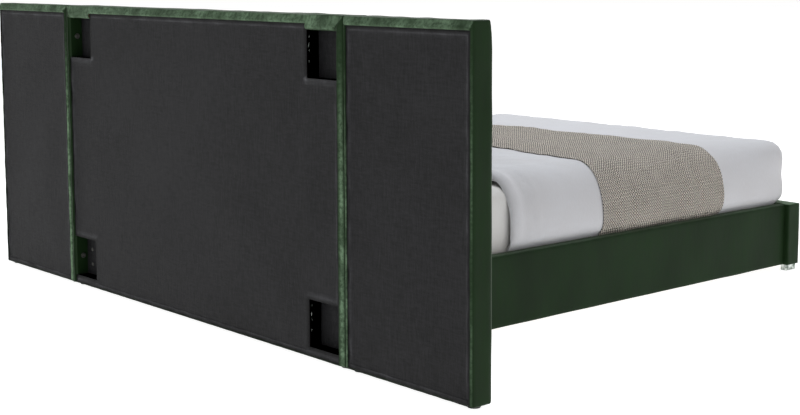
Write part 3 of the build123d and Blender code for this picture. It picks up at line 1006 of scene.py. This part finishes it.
def access_distance(x, z):
    """How far points of the back are from the nearest recess."""
    away = np.full_like(x, 1.0)
    for column in access_columns():
        for span in access_heights():
            sideways = np.maximum(np.maximum(column[0] - x, x - column[1]), 0)
            upward = np.maximum(np.maximum(span[0] - z, z - span[1]), 0)
            away = np.minimum(away, np.hypot(sideways, upward))
    return away


def line_access_with_cloth():
    """In edit mode, turns the dust cloth's cut edges into the recesses."""
    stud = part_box("centre_studs")[1].x
    low, high = access_heights()

    def cut(item):
        place = middle(item)
        if not item.is_boundary:
            return False
        beside = near(abs(place.x), stud) and (within(place.z, low) or place.z > high[0])
        over = abs(place.x) > stud and any(near(place.z, z) for z in (*low, high[0]))
        return beside or over

    choose("EDGE", cut)
    for depth in (0.004, 0.016, 0.026):
        pull_edges(0, -depth)


class BED_OT_dust_covers(bpy.types.Operator):
    """Black cloth stapled over the open backs of the three sections"""

    bl_idname = "bed.dust_covers"
    bl_label = "Dust covers"

    def execute(self, context):
        for section in SECTIONS:
            dust_cover(section, context.scene.bed_softness)
        return {"FINISHED"}


class BED_OT_access_backings(bpy.types.Operator):
    """Black cloth at the bottom of each access recess"""

    bl_idname = "bed.access_backings"
    bl_label = "Recess backings"

    def execute(self, context):
        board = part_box("centre_face_board")[1].y
        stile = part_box("centre_left_stile")[0].x
        for side, column in zip(SIDES, access_columns()):
            x = (column[0], stile) if SIDES[side] > 0 else (-stile, column[1])
            for height, z in zip(("low", "high"), access_heights()):
                piece = upright_cloth(f"{side}_{height}_backing", x, board + 0.0022, z, 0.008)

                def ribbed(places, normals):
                    places[:, Y] += 0.0009 * waves(places[:, X], places[:, Z] * 0.15, 0.03, 31)
                    return places

                reshape(piece, ribbed)
                thicken(piece, DUST_CLOTH)
                flat = (x[1] - x[0], z[1] - z[0])
                finished(piece, finish_of("dust_cloth"))
        return {"FINISHED"}


class BED_OT_staples(bpy.types.Operator):
    """Bright staples that hold the cloth on the studs inside the recesses"""

    bl_idname = "bed.staples"
    bl_label = "Staples"

    def execute(self, context):
        stud, back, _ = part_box("centre_studs")[1]
        for side, way in SIDES.items():
            wires = []
            for bottom, top in access_heights():
                # How far up the recess, how far in from the back, half the crown's length, its tilt.
                for share, inward, half, tilt in (
                    (0.34, 0.007, 0.0055, 12),
                    (0.56, 0.008, 0.0055, 12),
                    (0.68, 0.006, 0.0085, -8),
                    (0.86, 0.008, 0.0055, -8),
                ):
                    centre = (way * (stud + DUST_CLOTH), back - inward, bottom + share * (top - bottom))
                    wires.append(wire_staple(f"{side}_staple", centre, half, tilt))
            piece = joined(wires, f"{side}_stud_staples")
            finished(piece, finish_of("polished_metal"))
        return {"FINISHED"}


def wire_staple(name, centre, half, tilt):
    """One staple lying on a stud's face: a flat wire crown that dips at both its ends."""
    wire = half / 5
    x, y, z = centre
    piece = cuboid(name, (x - wire, y - wire, z - half), (x + wire, y + wire, z + half))
    edit(piece)
    bevel(wire * 0.6, 2, lambda edge: runs_along(edge, Z, 0.004))
    slice_up(Z, (z - half * 0.8, z + half * 0.8))
    choose("VERT", lambda vert: abs(vert.co.z - z) > half * 0.9)
    bpy.ops.transform.translate(value=(-wire * 2 * np.sign(x), 0, 0))
    bpy.ops.mesh.select_all(action="SELECT")
    bpy.ops.transform.rotate(value=radians(tilt), orient_axis="X", center_override=centre)
    deselect()
    return piece


# ---- Rails and footboard ----

class BED_OT_side_rails(bpy.types.Operator):
    """Velvet sleeves and foam on the two side rails"""

    bl_idname = "bed.side_rails"
    bl_label = "Side rails"

    def execute(self, context):
        softness = context.scene.bed_softness
        pads = []
        for side, way in SIDES.items():
            low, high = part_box(f"{side}_rail_cover")
            foam_low, foam_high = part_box("rail_foams")
            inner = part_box(f"{side}_rail_board")[1 if way > 0 else 0].x
            outer = (foam_high if way > 0 else foam_low).x
            pad = cuboid(
                f"{side}_foam",
                (min(inner, outer), foam_low.y, foam_low.z),
                (max(inner, outer), foam_high.y, foam_high.z),
            )
            edit(pad)
            bevel(0.004, 2, lambda edge: runs_along(edge, Y) and near(middle(edge).x, outer))
            slice_up(Y, steps(low.y, high.y, 0.08))
            deselect()
            pads.append(pad)
            self.sleeve(side, low, high, softness)
        pad = joined(pads, "rail_foam_pads")
        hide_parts("rail_foams")
        finished(pad, finish_of("foam"))
        return {"FINISHED"}

    def sleeve(self, side, low, high, softness):
        piece = cuboid(f"{side}_rail_sleeve", low, high)
        edit(piece)
        bevel(0.007, 3, lambda edge: runs_along(edge, Y))
        slice_up(Y, steps(low.y, high.y, 0.035))
        slice_up(Z, steps(low.z, high.z, 0.03))
        slice_up(X, steps(low.x, high.x, 0.015))
        remove_faces(lambda face: abs(face.normal.y) > 0.9)
        deselect()
        subdivide(piece, kind="SIMPLE")

        def padded(places, normals):
            x, y, z = places.T
            w = centred(z, low.z, high.z)
            end = np.minimum(y - low.y, high.y - y)
            out = facing(normals, X) * (np.abs(x) > abs(low.x + high.x) / 2)
            swell = 0.0022 * (1 - w ** 4) + softness.pucker * 0.7 * waves(y, z, 0.3, 41)
            x += out * np.sign(x) * swell * blend(end, -0.01, 0.05)
            flat = blend(np.abs(normals[:, Z]), 0.6, 0.95)
            ripple = np.maximum(0.3 + waves(y, x, 0.16, 42), 0)
            z += flat * np.sign(normals[:, Z]) * softness.pucker * 0.8 * ripple
            return places

        reshape(piece, padded)
        thicken(piece, VELVET_CLOTH)
        # Painted highlight: a faint pale line along the sleeve's top edge.
        paint(piece, "nap_and_painted_highlight", lambda places, normals: 0.12 * blend(places[:, Z], high.z - 0.004, high.z))
        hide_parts(f"{side}_rail_cover")
        finished(piece, finish_of("velvet"))


class BED_OT_footboard(bpy.types.Operator):
    """Velvet cover and foam on the footboard"""

    bl_idname = "bed.footboard"
    bl_label = "Footboard"

    def execute(self, context):
        softness = context.scene.bed_softness
        node, radius = "footboard_foam", softness.front_round - VELVET_CLOTH
        foam_pad("footboard_pad", *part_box(node), radius, node, 0.002)
        low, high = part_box("footboard_velvet_cover")
        piece = cuboid("footboard_cover", low, high)
        edit(piece)
        round_cover(low, high, softness)
        for axis in (X, Z):
            slice_up(axis, steps(low[axis], high[axis], 0.03))
        slice_up(Y, steps(low.y + softness.front_round, high.y - softness.edge_round, 0.016))
        under = 0.022  # how far the velvet comes in underneath
        remove_faces(
            lambda face: face.normal.z < -0.9
            and within(middle(face).x, (low.x + under, high.x - under))
            and within(middle(face).y, (low.y + under, high.y - under))
        )
        deselect()
        subdivide(piece, kind="SIMPLE")

        def padded(places, normals):
            x, y, z = places.T
            u, w = centred(x, low.x, high.x), centred(z, low.z, high.z)
            front = facing(normals, Y, -1)
            crown = 0.0025 * (1 - u ** 6) * (1 - w ** 4)
            y -= front * (crown + softness.pucker * 0.6 * waves(x, z, 0.25, 43))
            flat = blend(normals[:, Z], 0.6, 0.95)
            z += flat * (0.0012 + softness.pucker * np.maximum(waves(x, y, 0.15, 44), -1)) * (1 - u ** 8)
            ends = facing(normals, X)
            x += ends * np.sign(x) * softness.pucker * (1 + waves(z, y, 0.1, 45)) * 0.5
            return places

        reshape(piece, padded)
        thicken(piece, VELVET_CLOTH)

        # Painted highlight: pale velvet over the footboard's top, where light falls.
        def nap_and_painted_highlight(places, normals):
            x, y, z = places.T
            return blend(z, high.z - 0.003, high.z) * (0.5 + 0.1 * waves(x, y, 0.1, 46))

        paint(piece, "nap_and_painted_highlight", nap_and_painted_highlight)
        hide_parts("footboard_velvet_cover")
        finished(piece, finish_of("velvet"))
        return {"FINISHED"}


# ---- Bedding ----

def draped_box(name, low, high, radius, foot_radius, cell):
    """A box cut into a net, rounded along its top and at its foot, open underneath and at the head."""
    piece = cuboid(name, low, high)
    edit(piece)
    bevel(radius, 5, lambda edge: lies_in(edge, Z, high[Z]) and runs_along(edge, Y))
    bevel(foot_radius, 4, lambda edge: lies_in(edge, Y, low[Y]) and not lies_in(edge, Z, low[Z]))
    slice_up(X, steps(low[X] + radius, high[X] - radius, cell))
    slice_up(Y, steps(low[Y] + foot_radius, high[Y], cell))
    slice_up(Z, steps(low[Z], high[Z] - radius, cell * 0.8))
    slice_up(Y, [high[Y] - step for step in (0.004, 0.01, 0.018)])
    remove_faces(lambda face: abs(face.normal.z) > 0.9 and near(middle(face).z, low[Z]))
    remove_faces(lambda face: face.normal.y > 0.9 and near(middle(face).y, high[Y]))
    deselect()
    return piece


def lay_cloth(piece, half, top, radius):
    """The cloth's own coordinates, in metres: along the arc across the bed, and along the bed."""
    mesh = piece.data
    layer = mesh.uv_layers.new(name="cloth") if not mesh.uv_layers else mesh.uv_layers[0]
    corner = np.empty(len(mesh.loops), dtype=int)
    mesh.loops.foreach_get("vertex_index", corner)
    x, y, z = read(piece).T
    flat = half - radius
    turn = np.arctan2(np.maximum(np.abs(x) - flat, 0), np.maximum(z - (top - radius), 1e-6))
    arc = np.minimum(np.abs(x), flat) + radius * np.minimum(turn, pi / 2)
    arc = arc + np.maximum(top - radius - z, 0)
    across = np.sign(x) * arc
    layer.data.foreach_set("uv", np.stack([across[corner], y[corner]], 1).ravel())


class BED_OT_mattress(bpy.types.Operator):
    """Mattress with piped edges and quilted panels"""

    bl_idname = "bed.mattress"
    bl_label = "Mattress"

    def execute(self, context):
        low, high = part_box("mattress")
        high.z -= context.scene.bed_softness.sheet_drop + 0.004
        piece = cuboid("mattress_block", low, high)
        edit(piece)
        rim = 0.04
        bevel(rim, 4, lambda edge: lies_in(edge, Z, high.z))
        bevel(rim / 2, 3, lambda edge: lies_in(edge, Z, low.z))
        for axis in (X, Y):
            slice_up(axis, steps(low[axis] + rim, high[axis] - rim, 0.05))
        slice_up(Z, steps(low.z + 0.03, high.z - rim, 0.03))
        deselect()

        def quilted(places, normals):
            x, y, z = places.T
            half = (low.z + high.z) / 2
            away = np.abs(z - half) / (high.z - half)
            inward = np.hypot(normals[:, X], normals[:, Y]) > 0.7
            tuck = 0.003 * bump_at(away, 0.72, 0.08) * inward
            x -= np.sign(normals[:, X]) * tuck * np.abs(normals[:, X])
            y -= np.sign(normals[:, Y]) * tuck * np.abs(normals[:, Y])
            tufts = np.abs(np.sin(pi * (x + y) / 0.2) * np.sin(pi * (x - y) / 0.2))
            z -= np.sign(z - half) * (np.abs(normals[:, Z]) > 0.9) * 0.004 * (1 - tufts)
            return places

        reshape(piece, quilted)
        subdivide(piece)
        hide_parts("mattress")
        finished(piece, finish_of("mattress_ticking"), "bedding")
        return {"FINISHED"}


class BED_OT_fitted_sheet(bpy.types.Operator):
    """Fitted sheet pulled over the mattress, gathered by its elastic hem"""

    bl_idname = "bed.fitted_sheet"
    bl_label = "Fitted sheet"

    def execute(self, context):
        low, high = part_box("fitted_sheet")
        ease, below, turn = 0.003, 0.03, 0.05
        drop = context.scene.bed_softness.sheet_drop
        low, high = low + Vector((-ease, -ease, -below)), high + Vector((ease, ease, -drop))
        piece = cuboid("cotton_sheet", low, high)
        edit(piece)
        bevel(turn, 5, lambda edge: lies_in(edge, Z, high.z) or runs_along(edge, Z))
        for axis in (X, Y):
            slice_up(axis, steps(low[axis] + turn, high[axis] - turn, 0.04))
        slice_up(Z, steps(low.z, high.z - turn, 0.03))
        remove_faces(lambda face: near(middle(face).z, low.z))
        deselect()
        subdivide(piece)

        def pulled(places, normals):
            x, y, z = places.T
            around = np.where(np.abs(normals[:, X]) > np.abs(normals[:, Y]), y, x)
            down = blend(z, high.z - 0.09, low.z + 0.02)
            gather = 0.0022 * waves(around, z * 0.12, 0.05, 51) * down
            swell = 0.004 * np.sin(pi * np.clip((z - low.z) / (high.z - low.z), 0, 1))
            side = np.hypot(normals[:, X], normals[:, Y])
            x += normals[:, X] * (gather + swell) * side
            y += normals[:, Y] * (gather + swell) * side
            flat = blend(normals[:, Z], 0.7, 0.98)
            z += flat * (0.0012 * waves(x, y * 0.35, 0.3, 52) + 0.0006 * waves(x * 0.4, y, 0.07, 53))
            return places

        reshape(piece, pulled)
        thicken(piece, SHEET_COTTON)
        lay_cloth(piece, high.x, high.z, turn)
        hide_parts("fitted_sheet")
        finished(piece, finish_of("sheet_cotton"), "bedding", angle=60)
        return {"FINISHED"}


def coverlet_box():
    """Corners of the coverlet's outside, and the height at which it meets the rails."""
    low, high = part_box("coverlet")
    return low, high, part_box("right_rail_cover")[1].z + 0.0015


def settled_by_cloth(piece, hem):
    """Lets the coverlet settle as cloth over a plain form, with its tucked edge held.

    How far it moves is capped.
    """
    before = read(piece).copy()
    low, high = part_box("fitted_sheet")
    high = high + Vector((0, 0, 0.006))
    form = cuboid("form", low, high)
    edit(form)
    bevel(0.09, 4, lambda edge: lies_in(edge, Z, high.z))
    activate(form)
    form.modifiers.new("Collision", "COLLISION")
    form.collision.thickness_outer = 0.005
    held = piece.vertex_groups.new(name="tucked_and_painted_shadow")
    held.add([i for i, place in enumerate(before) if place[Z] < hem + 0.012], 1.0, "REPLACE")
    activate(piece)
    cloth = piece.modifiers.new("Cloth", "CLOTH")
    wadding = {
        "quality": 5, "mass": 0.35, "tension_stiffness": 14, "compression_stiffness": 14,
        "shear_stiffness": 4, "bending_stiffness": 2.5, "shrink_min": -0.02,
    }
    for name, setting in wadding.items():
        setattr(cloth.settings, name, setting)
    cloth.settings.vertex_group_mass = "tucked_and_painted_shadow"
    cloth.collision_settings.distance_min = 0.004
    cloth.collision_settings.use_self_collision = False
    for number in range(CLOTH_FRAMES):
        bpy.context.scene.frame_set(number + 1)
    bpy.ops.object.modifier_apply(modifier="Cloth")
    bpy.data.objects.remove(form)
    bpy.context.scene.frame_set(1)
    piece.vertex_groups.clear()
    moved = read(piece) - before
    reach = np.linalg.norm(moved, axis=1)
    capped = CLOTH_CAP * np.tanh(reach / CLOTH_CAP)
    scale = np.where(reach > 1e-9, capped / np.maximum(reach, 1e-9), 0)
    piece.data.vertices.foreach_set("co", (before + moved * scale[:, None]).ravel())
    piece.data.update()


class BED_OT_coverlet(bpy.types.Operator):
    """Quilted white coverlet, tucked between the mattress and the rails"""

    bl_idname = "bed.coverlet"
    bl_label = "Coverlet"

    def execute(self, context):
        softness = context.scene.bed_softness
        low, high, hem = coverlet_box()
        high.y -= softness.head_fold
        radius = softness.coverlet_round
        foot = softness.foot_round
        piece = draped_box("quilted_coverlet", low, high, radius, foot, 0.03)
        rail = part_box("left_rail_cover")[0].x

        def swelled(places, normals):
            x, y, z = places.T
            across = np.maximum(np.abs(x) - high.x + radius, 0)
            upward = np.maximum(z - high.z + radius, 0)
            squared = 1 / np.maximum(rounding(across, upward), 0.7) - 1
            fill = (across * upward > 0) * blend(-y, 0.7, 1.02) * 0.8 * squared
            x += np.sign(x) * across * fill
            z += upward * fill
            rise = np.clip((z - hem) / (high.z - hem), 0, 1)
            swell = np.sin(pi * rise ** 0.8)
            tuck = (high.x - (rail - 0.0035)) * (1 - blend(z, hem - 0.004, hem + 0.03))
            side = np.hypot(normals[:, X], normals[:, Y])
            share = blend(side, 0.0, 0.6) / np.maximum(side, 1e-6)
            x += normals[:, X] * share * (softness.side_swell * swell - tuck)
            footward = np.minimum(normals[:, Y], 0) * share
            y += footward * (softness.foot_swell * np.sin(pi * rise ** 0.4) - tuck * 0.3)
            middle_rise = (1 - (x / high.x) ** 2) * blend(y, -1.0, -0.6)
            z += blend(normals[:, Z], 0.0, 0.9) * (softness.bed_lift + softness.bed_crown * middle_rise)
            corner = blend(np.abs(x), 0.66, 0.78) * blend(-y, 0.93, 1.05) * blend(z, 0.38, 0.48)
            x += np.sign(x) * 0.02 * corner
            y -= 0.02 * corner
            z += 0.004 * corner
            return places

        reshape(piece, swelled)
        settled_by_cloth(piece, hem)
        subdivide(piece)

        def rumpled(places, normals):
            x, y, z = places.T
            from_head = high.y - y
            turn = 1 - np.clip(from_head / 0.018, 0, 1)
            roll = 0.004 * bump_at(from_head, 0.03, 0.02) - 0.003 * bump_at(from_head, 0.075, 0.02)
            roll = roll - 0.011 * (1 - np.sqrt(1 - turn * turn))
            soft = 0.0016 * waves(x, y, 0.22, 61) + 0.0009 * waves(x * 1.2, y * 0.5, 0.08, 62)
            drag = 0.0022 * bump_at(from_head, 0.09, 0.06) * waves(from_head * 2, x + z, 0.09, 63)
            free = blend(z, hem, hem + 0.05)
            return places + normals * ((soft + drag + roll) * free)[:, None]

        reshape(piece, rumpled)
        copy_of(piece, "knitted_throw")
        flat = blend(read(piece, "normal")[:, Z], 0.5, 0.98)
        thicken(piece, softness.coverlet_loft)

        def lined(places, normals):
            places[len(flat):2 * len(flat), Z] -= flat * softness.sheet_drop * 0.9
            return places

        reshape(piece, lined)
        lay_cloth(piece, high.x, high.z, radius)
        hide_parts("coverlet")
        finished(piece, finish_of("coverlet_cotton"), "bedding", angle=60)
        return {"FINISHED"}


class BED_OT_throw(bpy.types.Operator):
    """Knitted throw laid across the coverlet; it is cut from the copy that the coverlet leaves"""

    bl_idname = "bed.throw"
    bl_label = "Throw"

    def execute(self, context):
        softness = context.scene.bed_softness
        low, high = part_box("throw")
        piece = bpy.data.objects["knitted_throw"]
        edit(piece)
        # Both edges lie askew: each one's place at the bed's middle, and its slant.
        foot_edge, foot_slant = low.y + 0.086, 0.1
        head_edge, head_slant = high.y - 0.055, 0.057
        for y, slant, way in ((foot_edge, foot_slant, -1), (head_edge, head_slant, 1)):
            bpy.ops.mesh.select_all(action="SELECT")
            bpy.ops.mesh.bisect(plane_co=(0, y, 0), plane_no=(slant, way, 0), clear_outer=True)
        bpy.ops.mesh.select_all(action="SELECT")
        bpy.ops.mesh.bisect(plane_co=(0, 0, low.z), plane_no=(0, 0, 1), clear_inner=True)
        deselect()

        def laid(places, normals):
            x, y, _ = places.T
            edge = np.minimum(y - low.y, high.y - y)
            ridge = 0.004 * bump_at(edge, 0.13, 0.02) + 0.003 * bump_at(edge, 0.19, 0.016)
            folds = 0.004 * bump_at(waves(y, x * 0.12, 0.28, 71), 0.2, 0.25)
            lift = softness.throw_lift + ridge + folds + 0.0006 * waves(x, y, 0.06, 72)
            return places + normals * lift[:, None]

        reshape(piece, laid)
        thicken(piece, THROW_YARN)
        lay_cloth(piece, high.x, high.z, softness.coverlet_round)
        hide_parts("throw")
        finished(piece, finish_of("throw_knit"), "bedding", angle=60)
        return {"FINISHED"}


# ---- Frame finishes ----

class BED_OT_frame_finishes(bpy.types.Operator):
    """Timber, board, steel and plastic finishes on the bed's own parts"""

    bl_idname = "bed.frame_finishes"
    bl_label = "Frame finishes"

    NODES = {
        "timber": ["centre_access_blocks", "centre_beam", "centre_studs", "footboard_rails",
                   "footboard_stiles", "headboard_packers", "ledgers", "left_rail_board",
                   "right_rail_board", "slats", "support_legs"]
                  + [f"{section}_{part}" for section in SECTIONS
                     for part in ("bottom_rail", "left_stile", "right_stile", "top_rail")],
        "panel_board": ["footboard_inner_board"] + [f"{section}_face_board" for section in SECTIONS],
        "black_plastic": ["headboard_glides", "levelling_foot_head", "levelling_foot_middle",
                          "levelling_foot_foot"],
        "polished_metal": ["foot_blocks"],
        "zinc_steel": ["bracket_bolts", "bracket_nuts", "clamp_bolts", "clamp_tnuts", "clamp_washers",
                       "leg_inserts", "wood_screws"],
        "black_steel": ["beam_cups", "rail_brackets"],
    }

    def execute(self, context):
        for slot, nodes in self.NODES.items():
            for name in nodes:
                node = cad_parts[name]
                node.data.materials.clear()
                node.data.materials.append(finish_of(slot))
        return {"FINISHED"}


# ---- Studio ----

class StudioSettings(bpy.types.PropertyGroup):
    """Light on the bed."""

    ceiling: FloatProperty(
        name="Ceiling", description="Brightness of the room overhead", default=0.2, min=0
    )
    key: FloatProperty(
        name="Key light", description="Power of the large soft light", default=205.0, min=0
    )
    lens: FloatProperty(name="Lens", description="Focal length", default=67.42, unit="CAMERA")


class BED_OT_studio(bpy.types.Operator):
    """Pale floor, soft lights and the camera"""

    bl_idname = "bed.studio"
    bl_label = "Studio"

    def execute(self, context):
        studio = context.scene.bed_studio
        self.floor()
        context.scene.world = self.room(studio)
        self.light("key", (0.6, -1.0, 4.6), (0, -0.4, 0.4), 4.0, studio.key)
        self.light("rear", (2.5, 6.0, 3.0), (0.6, 1.1, 0.6), 3.0, studio.key * 0.06)
        self.camera(context.scene, studio)
        context.scene.view_settings.view_transform = "Standard"
        return {"FINISHED"}

    def floor(self):
        deselect()
        under_the_feet = (0, 0, -0.0005)
        bpy.ops.mesh.primitive_grid_add(
            x_subdivisions=8, y_subdivisions=8, size=60, location=under_the_feet
        )
        floor = settle("floor")
        floor.data.materials.append(studio_floor())

    def room(self, studio):
        """White walls that fade to a dimmer ceiling."""
        world = bpy.data.worlds.new("white_room")
        world.use_nodes = True
        tree = world.node_tree
        way = tree.nodes.new("ShaderNodeTexCoord")
        split = tree.nodes.new("ShaderNodeSeparateXYZ")
        fade = tree.nodes.new("ShaderNodeMapRange")
        fade.interpolation_type = "SMOOTHSTEP"
        brightness = {"From Min": 0.12, "From Max": 0.6, "To Min": 1.0, "To Max": studio.ceiling}
        for name, amount in brightness.items():
            fade.inputs[name].default_value = amount
        tree.links.new(way.outputs["Generated"], split.inputs[0])
        tree.links.new(split.outputs["Z"], fade.inputs["Value"])
        tree.links.new(fade.outputs[0], tree.nodes["Background"].inputs["Strength"])
        tree.nodes["Background"].inputs["Color"].default_value = (1, 1, 1, 1)
        return world

    def light(self, name, place, target, size, power):
        data = bpy.data.lights.new(name, "AREA")
        data.size = size
        data.energy = power
        data.color = (0.93, 0.965, 1.0)
        light = bpy.data.objects.new(name, data)
        light.visible_camera = False
        bpy.context.collection.objects.link(light)
        turn = (Vector(target) - Vector(place)).to_track_quat("-Z", "Y").to_matrix()
        light.matrix_world = Matrix.Translation(place) @ turn.to_4x4()

    def camera(self, scene, studio):
        """Behind the headboard's right corner, looking along the bed to its foot."""
        data = bpy.data.cameras.new("camera")
        data.lens = studio.lens
        data.shift_x = -0.004
        data.shift_y = -0.09
        data.clip_end = 200
        camera = bpy.data.objects.new("camera", data)
        scene.collection.objects.link(camera)
        yaw, pitch, roll = -0.7123, -0.1133, -0.0036
        ahead = Vector((cos(yaw) * cos(pitch), sin(yaw) * cos(pitch), sin(pitch)))
        right = ahead.cross(Vector((0, 0, 1))).normalized()
        up = right.cross(ahead)
        tilted_right = right * cos(roll) + up * sin(roll)
        tilted_up = up * cos(roll) - right * sin(roll)
        turn = Matrix((tilted_right, tilted_up, -ahead)).transposed()
        camera.matrix_world = Matrix.Translation((-4.2258, 3.8494, 1.1974)) @ turn.to_4x4()
        scene.camera = camera


class BED_PT_parts(bpy.types.Panel):
    """The bed's pieces, in the order they are made"""

    bl_idname = "BED_PT_parts"
    bl_label = "Bed"
    bl_space_type = "VIEW_3D"
    bl_region_type = "UI"
    bl_category = "Bed"

    def draw(self, context):
        for group in (context.scene.bed_looks, context.scene.bed_softness, context.scene.bed_studio):
            box = self.layout.box()
            for name in group.__annotations__:
                box.prop(group, name)
        for step in STEPS:
            self.layout.operator(step.bl_idname)


STEPS = (
    BED_OT_headboard_pads,
    BED_OT_headboard_covers,
    BED_OT_dust_covers,
    BED_OT_access_backings,
    BED_OT_staples,
    BED_OT_side_rails,
    BED_OT_footboard,
    BED_OT_mattress,
    BED_OT_fitted_sheet,
    BED_OT_coverlet,
    BED_OT_throw,
    BED_OT_frame_finishes,
    BED_OT_studio,
)
GROUPS = {"bed_looks": BedLooks, "bed_softness": BedSoftness, "bed_studio": StudioSettings}


def register():
    for group in GROUPS.values():
        bpy.utils.register_class(group)
    for name, group in GROUPS.items():
        setattr(bpy.types.Scene, name, PointerProperty(type=group))
    for kind in (*STEPS, BED_PT_parts):
        bpy.utils.register_class(kind)


def unregister():
    for kind in (BED_PT_parts, *reversed(STEPS)):
        bpy.utils.unregister_class(kind)
    for name in GROUPS:
        delattr(bpy.types.Scene, name)
    for group in GROUPS.values():
        bpy.utils.unregister_class(group)


def main():
    register()
    for step in STEPS:
        group, name = step.bl_idname.split(".")
        getattr(getattr(bpy.ops, group), name)()


if __name__ == "__main__":
    main()
